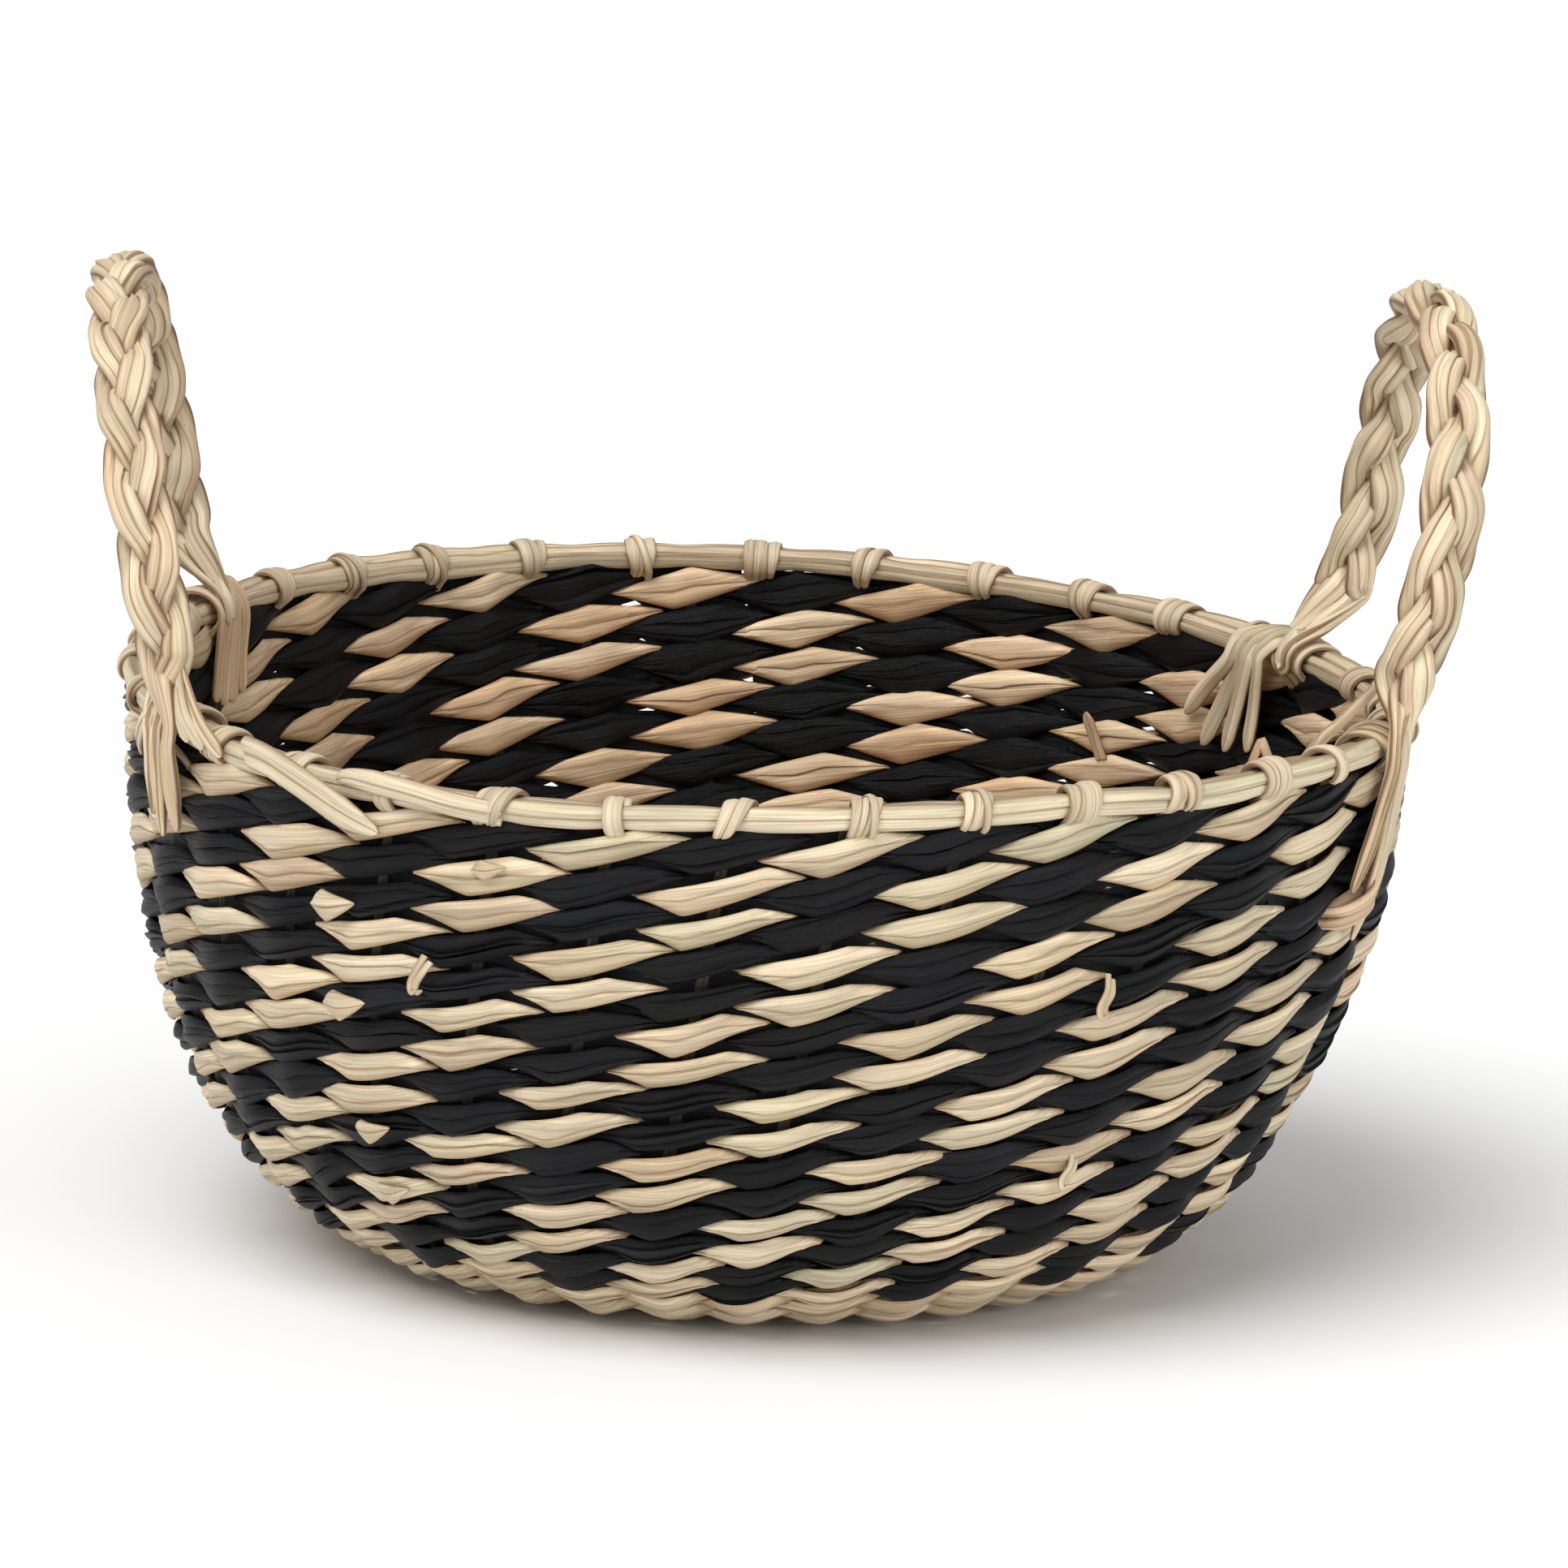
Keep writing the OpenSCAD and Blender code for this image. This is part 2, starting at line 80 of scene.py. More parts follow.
def skin(s):
    """Radius and height of the wall's outside at a distance s along it."""
    a = slope(s)
    sn, cs = np.sin(a), np.cos(a)
    r = np.where(s < TURN_S, BASE_R + TURN_R * sn, TURN_P[0] + BELLY_R * (sn - math.sin(TURN_A)))
    z = np.where(s < TURN_S, TURN_R * (1 - cs), TURN_P[1] + BELLY_R * (math.cos(TURN_A) - cs))
    r = np.where(s < BELLY_S, r, BELLY_P[0] + WALL_R * (sn - math.sin(BELLY_A)))
    z = np.where(s < BELLY_S, z, BELLY_P[1] + WALL_R * (math.cos(BELLY_A) - cs))
    r = np.where(s < WALL_S, r, WALL_P[0] + (s - WALL_S) * math.cos(WALL_A))
    z = np.where(s < WALL_S, z, WALL_P[1] + (s - WALL_S) * math.sin(WALL_A))
    r = np.where(s < 0, BASE_R + s, r)
    return r, np.where(s < 0, 0.0, z), sn, cs


def drift(s):
    """The stakes lean a little, so that the pattern shifts sideways on its way down."""
    return -DRIFT * (RUN - np.clip(s, 20, RUN))


# How far the rim is from round and from level: cosine and sine shares of waves with two and three crests.
OUT_OF_ROUND = {2: (0.0051, 0.0014), 3: (0.0065, -0.0117)}
OUT_OF_LEVEL = {2: (0.24, -2.02), 3: (-0.90, -0.34)}
RIM_SLANT = -0.0099  # rise of the rim for each millimetre to the right
BELLY_Z, BELLY_SHIFT = 45.0, 2.5  # at this height the belly stands this much further left
BOTTOM_LIFT = 1.6  # the bottom's edge is this much higher than its middle


def waves(a, shares):
    """A sum of waves round the bowl."""
    return sum(c * np.cos(m * a) + s * np.sin(m * a) for m, (c, s) in shares.items())


def uneven(p):
    """A hand-made basket isn't quite round or level."""
    x, y, z = p[..., 0], p[..., 1], p[..., 2]
    a, r = np.arctan2(y, x), np.hypot(x, y)
    up = np.clip(z / 150, 0, 1.1)
    k = 1 + up * waves(a, OUT_OF_ROUND)
    out = np.stack([x * k - BELLY_SHIFT * np.exp(-(((z - BELLY_Z) / 40) ** 2)), y * k, z], -1)
    out[..., 2] += up**1.5 * (waves(a, OUT_OF_LEVEL) + RIM_SLANT * x)
    edge = np.clip((r - 80) / 20, 0, 1)
    out[..., 2] += BOTTOM_LIFT * edge * edge * (3 - 2 * edge) * (1 - np.clip(z / 60, 0, 1))
    return out


def knot_lag(phi):
    """How many degrees further on a knot stands than its stake: nothing at the front, most at the back."""
    return BACK_LAG * (1 + math.cos(math.radians(min(max((phi - 120) * 1.9, -180), 180))))


def wall(phi, s, n):
    """A point on the wall: phi in degrees, s along the outside, n outwards from the wall's middle."""
    phi, s, n = np.broadcast_arrays(np.asarray(phi, float), np.asarray(s, float), np.asarray(n, float))
    r, z, sn, cs = skin(s)
    d = MID - n
    r, z = r - d * sn, z + d * cs
    a = np.radians(phi)
    return np.stack([r * np.cos(a), r * np.sin(a), z], -1)


def course_s(k):
    """How far along the outside course k lies, counted down from the rim."""
    return RUN - TOP_GAP - (k - 1) * PITCH


# ------------------------------------------------ colours of the rush, in linear light
CREAM = np.array([0.750, 0.640, 0.455])
STRAW = np.array([0.675, 0.550, 0.370])
TAN = np.array([0.600, 0.445, 0.275])
PINK = np.array([0.665, 0.495, 0.335])
GREEN = np.array([0.585, 0.560, 0.370])
AMBER = np.array([0.545, 0.355, 0.200])
INK = np.array([0.0020, 0.0023, 0.0034])
INK_GREEN = np.array([0.0028, 0.0040, 0.0034])
INK_WARM = np.array([0.0042, 0.0031, 0.0031])
INK_BLUE = np.array([0.0095, 0.0105, 0.0165])
PALE = [(1.08 * CREAM, 0.38), (1.02 * STRAW, 0.21), (1.02 * TAN, 0.17), (1.04 * PINK, 0.15), (GREEN, 0.09)]
WARM = [(1.12 * STRAW, 0.14), (1.16 * TAN, 0.28), (1.2 * PINK, 0.22), (1.26 * AMBER, 0.30), (CREAM, 0.06)]
RIM = [(1.14 * CREAM, 0.55), (1.1 * STRAW, 0.2), (1.1 * GREEN, 0.15), (PINK, 0.1)]
KNOT = [(1.08 * CREAM, 0.35), (STRAW, 0.25), (1.05 * PINK, 0.2), (TAN, 0.2)]
BLACK = [(INK, 0.44), (INK_GREEN, 0.18), (INK_WARM, 0.15), (INK_BLUE, 0.23)]
# painted shade: the stakes are coloured near black, so that where they show between the floats they read as
# the shade in the gaps
STAKE = [(0.09 * TAN, 0.6), (0.06 * AMBER, 0.4)]


def pick(rng, palette, shape):
    """Random colours from a palette, each a little lighter or darker."""
    cols = np.array([c for c, _ in palette])
    w = np.array([x for _, x in palette])
    i = rng.choice(len(cols), size=shape, p=w / w.sum())
    j = rng.choice(len(cols), size=shape, p=w / w.sum())
    m = rng.uniform(0, 0.45, size=shape)[..., None]
    return (cols[i] * (1 - m) + cols[j] * m) * rng.uniform(0.9, 1.1, size=shape)[..., None]


# ------------------------------------------------ meshes
SHARP = math.radians(38)  # an edge that turns by more than this isn't smoothed


def make_mesh(pts, closed, fib, tint, caps=True):
    """A tube from a grid of points, rings by points round each, with its fibre coordinates and colour."""
    pts = uneven(pts)
    rings, around = pts.shape[:2]
    verts = (pts.reshape(-1, 3) * 0.001).astype(np.float32)
    a, b = np.meshgrid(np.arange(rings if closed else rings - 1), np.arange(around), indexing="ij")
    a2, b2 = (a + 1) % rings, (b + 1) % around
    quads = np.stack([a * around + b, a * around + b2, a2 * around + b2, a2 * around + b], -1).reshape(-1, 4)
    cap = (rings, around) if caps and not closed else None
    return verts, quads, fib.reshape(-1, 3), tint.reshape(-1, 3), cap


def add_object(name, parts, mat, body=None):
    """Joins several tubes into one object."""
    all_verts, all_quads, fibs, tints, ends = [], [], [], [], []
    start = 0
    for verts, quads, fib, tint, cap in parts:
        all_verts.append(verts)
        all_quads.append(quads + start)
        fibs.append(fib)
        tints.append(tint)
        if cap:
            rings, around = cap
            ends.append([start + i for i in range(around)][::-1])
            ends.append([start + (rings - 1) * around + i for i in range(around)])
        start += len(verts)
    verts = np.concatenate(all_verts)
    quads = np.concatenate(all_quads).astype(np.int32)
    me = bpy.data.meshes.new(name)
    me.vertices.add(len(verts))
    me.vertices.foreach_set("co", verts.ravel())
    sizes = np.concatenate([np.full(len(quads), 4, np.int32), np.array([len(e) for e in ends], np.int32)])
    corners = np.concatenate([quads.ravel()] + [np.array(e, np.int32) for e in ends]).astype(np.int32)
    me.loops.add(len(corners))
    me.loops.foreach_set("vertex_index", corners)
    me.polygons.add(len(sizes))
    me.polygons.foreach_set("loop_start", np.concatenate([[0], np.cumsum(sizes)[:-1]]).astype(np.int32))
    me.polygons.foreach_set("loop_total", sizes)
    me.update(calc_edges=True)
    me.validate()
    at = me.attributes.new("fib", "FLOAT_VECTOR", "POINT")
    at.data.foreach_set("vector", np.concatenate(fibs).astype(np.float32).ravel())
    col = me.attributes.new("tint", "FLOAT_COLOR", "POINT")
    rgba = np.concatenate([np.concatenate(tints), np.ones((len(verts), 1))], 1)
    col.data.foreach_set("color", rgba.astype(np.float32).ravel())
    me.polygons.foreach_set("use_smooth", np.ones(len(me.polygons), bool))
    me.set_sharp_from_angle(angle=SHARP)
    me.materials.append(mat)
    ob = bpy.data.objects.new(name, me)
    bpy.context.scene.collection.objects.link(ob)
    if body:
        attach(ob, body)
    return ob


# Points across one leaf, and how open each lies. Painted shade makes a leaf darker and browner in the creases
# at its edges, and it is lifted a little where it lies open.
ACROSS = np.array([0.02, 0.14, 0.5, 0.86, 0.98])
OPEN = np.array([0.0, 0.92, 1.0, 0.92, 0.0])[:, None]
SHADE = np.array([0.70, 0.61, 0.52]) * (1 - OPEN) + 1.03 * OPEN
SIDE_SHADE_LOSS = np.array([0.62, 0.74, 0.84])  # painted shade: what a bundle's sides lose of red, green and blue at most


def painted_crease_shade(leaves, edge=0.0):
    """The painted shade of each point round a bundle with so many leaves on each face; edge is how much
    painted shade darkens its sides.
    """
    shade = np.tile(SHADE, (2 * leaves, 1))[None]
    face = len(ACROSS) * leaves
    side = np.zeros(2 * face)
    side[[0, face - 1, face, 2 * face - 1]] = edge
    side[[1, face - 2, face + 1, 2 * face - 2]] = 0.4 * edge
    return shade * (1 - side[None, :, None] * SIDE_SHADE_LOSS)


def leaf_face(bounds, ho, tilt, power):
    """Where the points of one face of a bundle lie, from edge to edge: places across from -1 to 1, heights,
    and the leaf each belongs to. bounds is rings by leaves + 1, tilt rings by leaves."""
    rings, leaves = tilt.shape
    lo, hi = bounds[:, :-1, None], bounds[:, 1:, None]
    tau = lo + (hi - lo) * ACROSS
    dome = np.clip(1 - np.abs(tau) ** power, 0.0, 1) ** (1 / power)
    h = ho[:, None, None] * dome
    edge = np.clip((1 - np.abs(tau)) * 4, 0, 1)
    h = h + edge * (tilt[:, :, None] * (1 - 2 * ACROSS) + 0.22 * (1 - (2 * ACROSS - 1) ** 2) - 0.12)
    leaf = np.broadcast_to(np.arange(leaves)[None, :, None], tau.shape)
    return tau.reshape(rings, -1), h.reshape(rings, -1), leaf.reshape(rings, -1)


def smooth_noise(rng, count, knots, shape=(), closed=True):
    """Smooth random values along a strand: one value at each knot."""
    v = rng.normal(size=(knots,) + shape)
    x = np.linspace(0, knots if closed else knots - 1, count, endpoint=not closed)
    i = np.floor(x).astype(int)
    f = x - i
    f = f * f * (3 - 2 * f)
    i0, i1 = i % knots, (i + 1) % knots
    f = f.reshape((-1,) + (1,) * len(shape))
    return v[i0] * (1 - f) + v[i1] * f


def bounds_of(rng, rings, leaves, knots, closed, spread):
    """Where the seams between a face's leaves run, from -1 to 1 across, at each ring."""
    base = np.linspace(-1, 1, leaves + 1)
    b = np.tile(base, (rings, 1))
    if leaves > 1:
        b[:, 1:-1] += spread * smooth_noise(rng, rings, knots, (leaves - 1,), closed)
        b[:, 1:-1] = np.clip(b[:, 1:-1], -0.86, 0.86)
        b.sort(axis=1)
    return b


# ------------------------------------------------ a twined strand
RINGS = 24  # rings from one stake to the next
# How a strand of a course is shaped. ends: lower and upper edge at a float's left end, then at its right;
# reach: half the length of a float, in stake spacings; thick: how much thicker it is where it crosses its
# partner; leaves on each face; slant of the seams between them; painted_light_shade: how strongly painted
# light and shade change a leaf's colour across it and at its tips; tilt: how far one edge of a leaf
# stands above the next leaf's.
DYED = {"ends": (-2.3, -0.7, 2.7, 4.3), "reach": 0.72, "thick": 0.4, "leaves": 3,
        "slant": 0.2, "painted_light_shade": 0.0, "tilt": 0.55}
PLAIN = {"ends": (-2.2, -1.4, 3.0, 3.8), "reach": 0.69, "thick": 0.8, "leaves": 2,
         "slant": 0.0, "painted_light_shade": 1.0, "tilt": 0.32}
PAIR = {"ends": (-5.3, 0.7, -0.7, 5.3), "reach": 0.5, "thick": 0.6, "leaves": 2,
        "slant": 0.0, "painted_light_shade": 1.0, "tilt": 0.32}
BROWN_SHADE_LOSS = np.array([0.33, 0.46, 0.62])  # painted shade: what a pale leaf loses of red, green and blue where it is shaded brown


def painted_light_shade(tau, xx, strength):
    """Painted light and shade: a pale leaf is painted lighter along its upper edge, and painted shade makes
    it browner along its lower edge and at its tips.
    """
    low = np.clip(-0.15 - tau, 0, 1)[..., None] * strength
    tip = np.clip((np.abs(xx) - 0.72) / 0.28, 0, 1)[:, None, None] * strength
    high = np.clip(tau - 0.2, 0, 1)[..., None] * strength
    return (1 - low * BROWN_SHADE_LOSS) * (1 - 0.7 * tip * BROWN_SHADE_LOSS) * (1 + 0.30 * high)


def edge_line(x, x0, y0, x1, y1, bulge):
    """A slightly bowed edge between two corners."""
    f = np.clip((x - x0) / (x1 - x0), 0, 1)
    return y0 + (y1 - y0) * f + bulge * 4 * f * (1 - f)


def float_outline(rng, x, outer, way, style, size, cells, cell):
    """Lower and upper edge of a strand on one face, then for each ring the float it belongs to, the place
    along that float, and whether it is hidden. way is 1 for the outer face, and -1 for the inner one, where
    the leaves slant the other way."""
    reach = 2 * style["reach"]
    low_l, top_l, low_r, top_r = style["ends"]
    own = np.where(outer == (way > 0), cell, (cell + np.where(x < 0, -1, 1)) % cells)
    far = outer != (way > 0)
    u = np.where(far, x - 2 * np.where(x < 0, -1, 1), x)
    xx = np.clip(u / reach, -1, 1) * way

    def draw(lo, hi):
        return rng.uniform(lo, hi, cells)[own]

    # outside, a float's lower corner lies left of its middle and its upper one right; inside, both near it
    if way > 0:
        corner_l, corner_u = draw(-0.50, -0.14), draw(0.14, 0.50)
    else:
        corner_l, corner_u = draw(-0.26, 0.02), draw(-0.02, 0.26)
    deep, high = draw(5.6, 7.1) * size, draw(5.6, 7.1) * size
    bow = draw(-0.3, 0.5)
    low = np.where(
        xx < corner_l,
        edge_line(xx, -1, low_l, corner_l, -deep, -0.3 * bow),
        edge_line(xx, corner_l, -deep, 1, low_r, -bow),
    )
    top = np.where(
        xx < corner_u,
        edge_line(xx, -1, top_l, corner_u, high, bow),
        edge_line(xx, corner_u, high, 1, top_r, 0.3 * bow),
    )
    # between two floats of this face the strand runs behind its partner
    hidden = np.abs(u) > reach
    f = np.clip(0.5 + 0.5 * x / (2 - reach), 0, 1)
    if way < 0:
        f = 1 - f
    low = np.where(hidden, low_r + (low_l - low_r) * f, low)
    top = np.where(hidden, top_r + (top_l - top_r) * f, top)
    for arr in (low, top):
        arr[1:-1] = 0.15 * arr[:-2] + 0.7 * arr[1:-1] + 0.15 * arr[2:]
    return low, top, own, xx, hidden


def twined(k, parity, stakes, palette, inner_palette, seed, style=PAIR, flat=False, full=(1.0, 1.0)):
    """One strand of course k. It floats outside one stake and inside the next, and crosses its partner
    between. parity says outside which stakes, flat that it is in the bottom, and full is its share of the
    usual width on each face."""
    rng = np.random.default_rng(seed)
    rings = stakes * RINGS + 1
    q = np.arange(rings) / RINGS + stakes // 2 + 0.5  # it starts and ends between two stakes at the back
    phase = q + parity + 0.5
    turn = np.floor(phase + 1e-6).astype(int)
    cell = turn % stakes
    x = (phase - turn) * 2 - 1  # -1 and 1 at the crossings, 0 at the stake
    outside = turn % 2 == 0
    bell = np.cos(x * math.pi / 2)
    n = np.where(outside, 1.0, -1.0) * rng.uniform(2.8, 3.15, stakes)[cell] * bell**1.3
    ho = 2.0 + style["thick"] * (1 - bell) ** 1.5 + 0.10 * smooth_noise(rng, rings, stakes * 2)
    shift = 0.8 * smooth_noise(rng, rings, stakes)
    shift_t = 0.35 * smooth_noise(rng, rings, stakes)
    for arr in (n, ho, shift, shift_t):
        arr[-1] = arr[0]
    leaves = style["leaves"]
    t, nn, leaf, slants, tints = [], [], [], [], []
    for way, pal, size in ((1, palette, full[0]), (-1, inner_palette, full[1])):
        low, top, own, xx, hidden = float_outline(rng, x, outside, way, style, size, stakes, cell)
        low[-1], top[-1] = low[0], top[0]
        b = bounds_of(rng, rings, leaves, stakes, False, 0.2)
        b[:, 1:-1] = np.clip(b[:, 1:-1] + style["slant"] * xx[:, None], -0.9, 0.9)
        b.sort(axis=1)
        tilt = style["tilt"] * (1 + 0.5 * smooth_noise(rng, rings, stakes, (leaves,)))
        tilt *= np.where(rng.random((stakes, leaves)) < 0.5, -1, 1)[cell] * (0.35 + 0.65 * bell)[:, None]
        tau, h, lf = leaf_face(b, ho, tilt, 2.5)
        near, far = pick(rng, pal, (stakes, leaves)), pick(rng, pal, (stakes,))
        whole = (pick(rng, pal, (stakes,)) * rng.uniform(0.82, 1.17, (stakes, 1)))[:, None, :]
        mix = (0.45 * np.clip(0.5 + 0.5 * xx, 0, 1))[:, None, None]
        col = (0.6 * whole + 0.4 * near)[own[:, None], lf] * (1 - mix) + far[own][:, None, :] * mix
        # painted light and shade: lighter along a leaf's upper edge, shaded browner along its lower edge and
        # at its tips
        col = col * painted_light_shade(tau, xx, style["painted_light_shade"])
        # a float's tips stay near the surface, beside the partner that passes them
        base = np.where(hidden | flat, n, way * np.maximum(way * n, -0.3))
        t.append((((top + low) / 2 + shift_t)[:, None] + ((top - low) / 2)[:, None] * tau)[:, ::way])
        nn.append((base[:, None] + way * h)[:, ::way])
        leaf.append((lf + leaves * (way < 0))[:, ::way])
        slants.append(np.broadcast_to(xx[:, None], tau.shape))
        tints.append(col[:, ::way])
    t, nn, leaf, xx = (np.concatenate(rows, 1) for rows in (t, nn, leaf, slants))
    # painted shade: darker, browner creases between the leaves
    tint = np.concatenate(tints, 1) * painted_crease_shade(leaves)
    if flat:
        nn = np.minimum(nn, MID - 0.05)
    phi0 = STAKE_A0 + (360.0 / stakes) * q
    s = course_s(k) + t
    r_mid = skin(np.array(course_s(k)))[0]
    phi = phi0[:, None] + np.degrees(shift / r_mid)[:, None] + drift(np.zeros_like(s) if flat else s)
    pts = wall(phi, s, nn)
    half = math.pi * r_mid / stakes
    along = np.radians(phi0) * r_mid
    # the fibres run along the leaf's own slant
    along = np.broadcast_to(along[:, None], t.shape)
    fib = np.stack([along, t - 0.27 * xx * half, leaf * 3.7 + seed % 97], -1)
    pts[-1] = pts[0]
    return make_mesh(pts, False, fib, tint, caps=False)


LINING_RINGS = 12  # rings from one stake to the next
LINING_W, LINING_H = 5.6, 0.6  # half its width and half its thickness
CHINK_SHARE, CHINK_W = 0.24, 1.7  # this share of the gaps between stakes is left open by so much


def lining(k, seed):
    """The inner leaves of a dyed strand, which fill the wall between its floats and their partner's."""
    rng = np.random.default_rng(seed)
    rings = STAKES * LINING_RINGS + 1
    q = np.arange(rings) / LINING_RINGS + STAKES // 2 + 0.5
    x = np.abs((q + 0.5) % 1 - 0.5) * 2  # 0 at a stake, 1 between two
    chink = (rng.random(STAKES + 1) < CHINK_SHARE)[np.floor(q - STAKES // 2 - 0.5).astype(int)]
    half = LINING_W - np.where(chink, CHINK_W, 0.0) * np.clip((x - 0.6) / 0.4, 0, 1)
    s = course_s(k) + half[:, None] * np.array([-1.0, 1.0, 1.0, -1.0])
    n = np.tile(LINING_H * np.array([1.0, 1.0, -1.0, -1.0]), (rings, 1))
    phi = STAKE_A0 + STEP * q[:, None] + drift(s)
    along = np.radians(phi) * skin(np.array(course_s(k)))[0]
    fib = np.stack([along, s - course_s(k), np.full_like(s, seed % 97)], -1)
    tint = np.tile(INK, (rings, 4, 1))
    return make_mesh(wall(phi, s, n), False, fib, tint, caps=False)


# ------------------------------------------------ a bundle swept along any line
def unit(v):
    """Vectors of length 1."""
    return v / np.maximum(np.linalg.norm(v, axis=-1, keepdims=True), 1e-9)


def spline(ctrl, count):
    """A smooth line in even steps through control rows, of which the first three columns are the point."""
    c = np.asarray(ctrl, float)
    p = np.concatenate([[2 * c[0] - c[1]], c, [2 * c[-1] - c[-2]]])
    fine = []
    for i in range(len(c) - 1):
        t = np.linspace(0, 1, 24, endpoint=False)[:, None]
        a, b, d, e = p[i : i + 4]
        square, cube = 2 * a - 5 * b + 4 * d - e, 3 * b - a - 3 * d + e
        fine.append(0.5 * ((2 * b) + (d - a) * t + square * t**2 + cube * t**3))
    fine = np.concatenate(fine + [c[-1:]])
    length = np.concatenate([[0], np.cumsum(np.linalg.norm(np.diff(fine[:, :3], axis=0), axis=1))])
    x = np.linspace(0, length[-1], count)
    return np.stack([np.interp(x, length, fine[:, j]) for j in range(c.shape[1])], 1)


def bundle(line, out, w, h, palette, seed, *, leaves, tilt0, taper=(0, 0), closed=False, power=2.3,
           knots=None, edge=0.35):
    """A bundle of leaves along a line. line and out are rows of points and outward directions, w and h half
    widths across and through, taper the shares of the length over which its ends narrow, tilt0 how far a
    leaf's edge stands up, power how flat its face is, knots how often it changes, edge how much painted
    shade darkens its sides."""
    rng = np.random.default_rng(seed)
    rings = len(line)
    if closed:
        tang = unit(np.roll(line, -1, 0) - np.roll(line, 1, 0))
    else:
        tang = unit(np.gradient(line, axis=0))
    across = unit(np.cross(out, tang))
    out = unit(np.cross(tang, across))
    step = np.linalg.norm(np.diff(line, axis=0), axis=1)
    along = np.concatenate([[0], np.cumsum(step)])
    w = np.broadcast_to(np.asarray(w, float), (rings,)).copy()
    h = np.broadcast_to(np.asarray(h, float), (rings,)).copy()
    f = np.linspace(0, 1, rings)
    for share, way in zip(taper, (f, 1 - f)):
        if share:
            k = np.sqrt(np.clip(way / share, 0, 1))
            w *= 0.12 + 0.88 * k
            h *= 0.35 + 0.65 * k
    knots = knots or max(3, int(along[-1] / 22))
    faces = []
    for _ in range(2):
        b = bounds_of(rng, rings, leaves, knots, closed, 0.12)
        tilt = tilt0 + 0.5 * tilt0 * smooth_noise(rng, rings, knots, (leaves,), closed)
        tilt *= np.where(rng.random(leaves) < 0.5, -1, 1)
        tilt *= np.minimum(1, h / 1.2)[:, None]
        faces.append(leaf_face(b, h, tilt, power))
    tau = np.concatenate([faces[0][0], faces[1][0][:, ::-1]], 1)
    hgt = np.concatenate([faces[0][1], -faces[1][1][:, ::-1]], 1)
    leaf = np.concatenate([faces[0][2], faces[1][2][:, ::-1] + leaves], 1)
    side = w[:, None] * tau
    pts = line[:, None, :] + across[:, None, :] * side[..., None] + out[:, None, :] * hgt[..., None]
    fib = np.stack([np.broadcast_to(along[:, None], tau.shape), side, leaf * 3.7 + seed % 97], -1)
    # each leaf has a colour of its own, which changes from knot to knot
    here = pick(rng, palette, (knots + 1, 2 * leaves))
    whole = pick(rng, palette, (2 * leaves,))[None]
    shade = 0.45 * here + 0.55 * whole
    at = np.linspace(0, knots, rings, endpoint=not closed)
    i0 = np.minimum(np.floor(at).astype(int), knots - 1 if closed else knots)
    i1 = (i0 + 1) % knots if closed else np.minimum(i0 + 1, knots)
    part = (at - np.floor(at))[:, None, None]
    shade = shade[i0] * (1 - part) + shade[i1] * part
    # painted shade: darker, browner creases between the leaves, and sides darkened as much as edge says
    tint = np.take_along_axis(shade, leaf[..., None].repeat(3, -1), 1) * painted_crease_shade(leaves, edge)
    return make_mesh(pts, closed, fib, tint)


def outward(phi, s, n):
    """Points on the wall, and the outward direction at each."""
    p = wall(phi, s, n)
    return p, wall(phi, s, n + 1) - p


def wall_line(ctrl, count):
    """A line given on the wall as rows of phi, s, n; returns points and outward directions."""
    line = spline(np.concatenate(outward(*np.array(ctrl, float).T), 1), count)
    return line[:, :3], unit(line[:, 3:6])


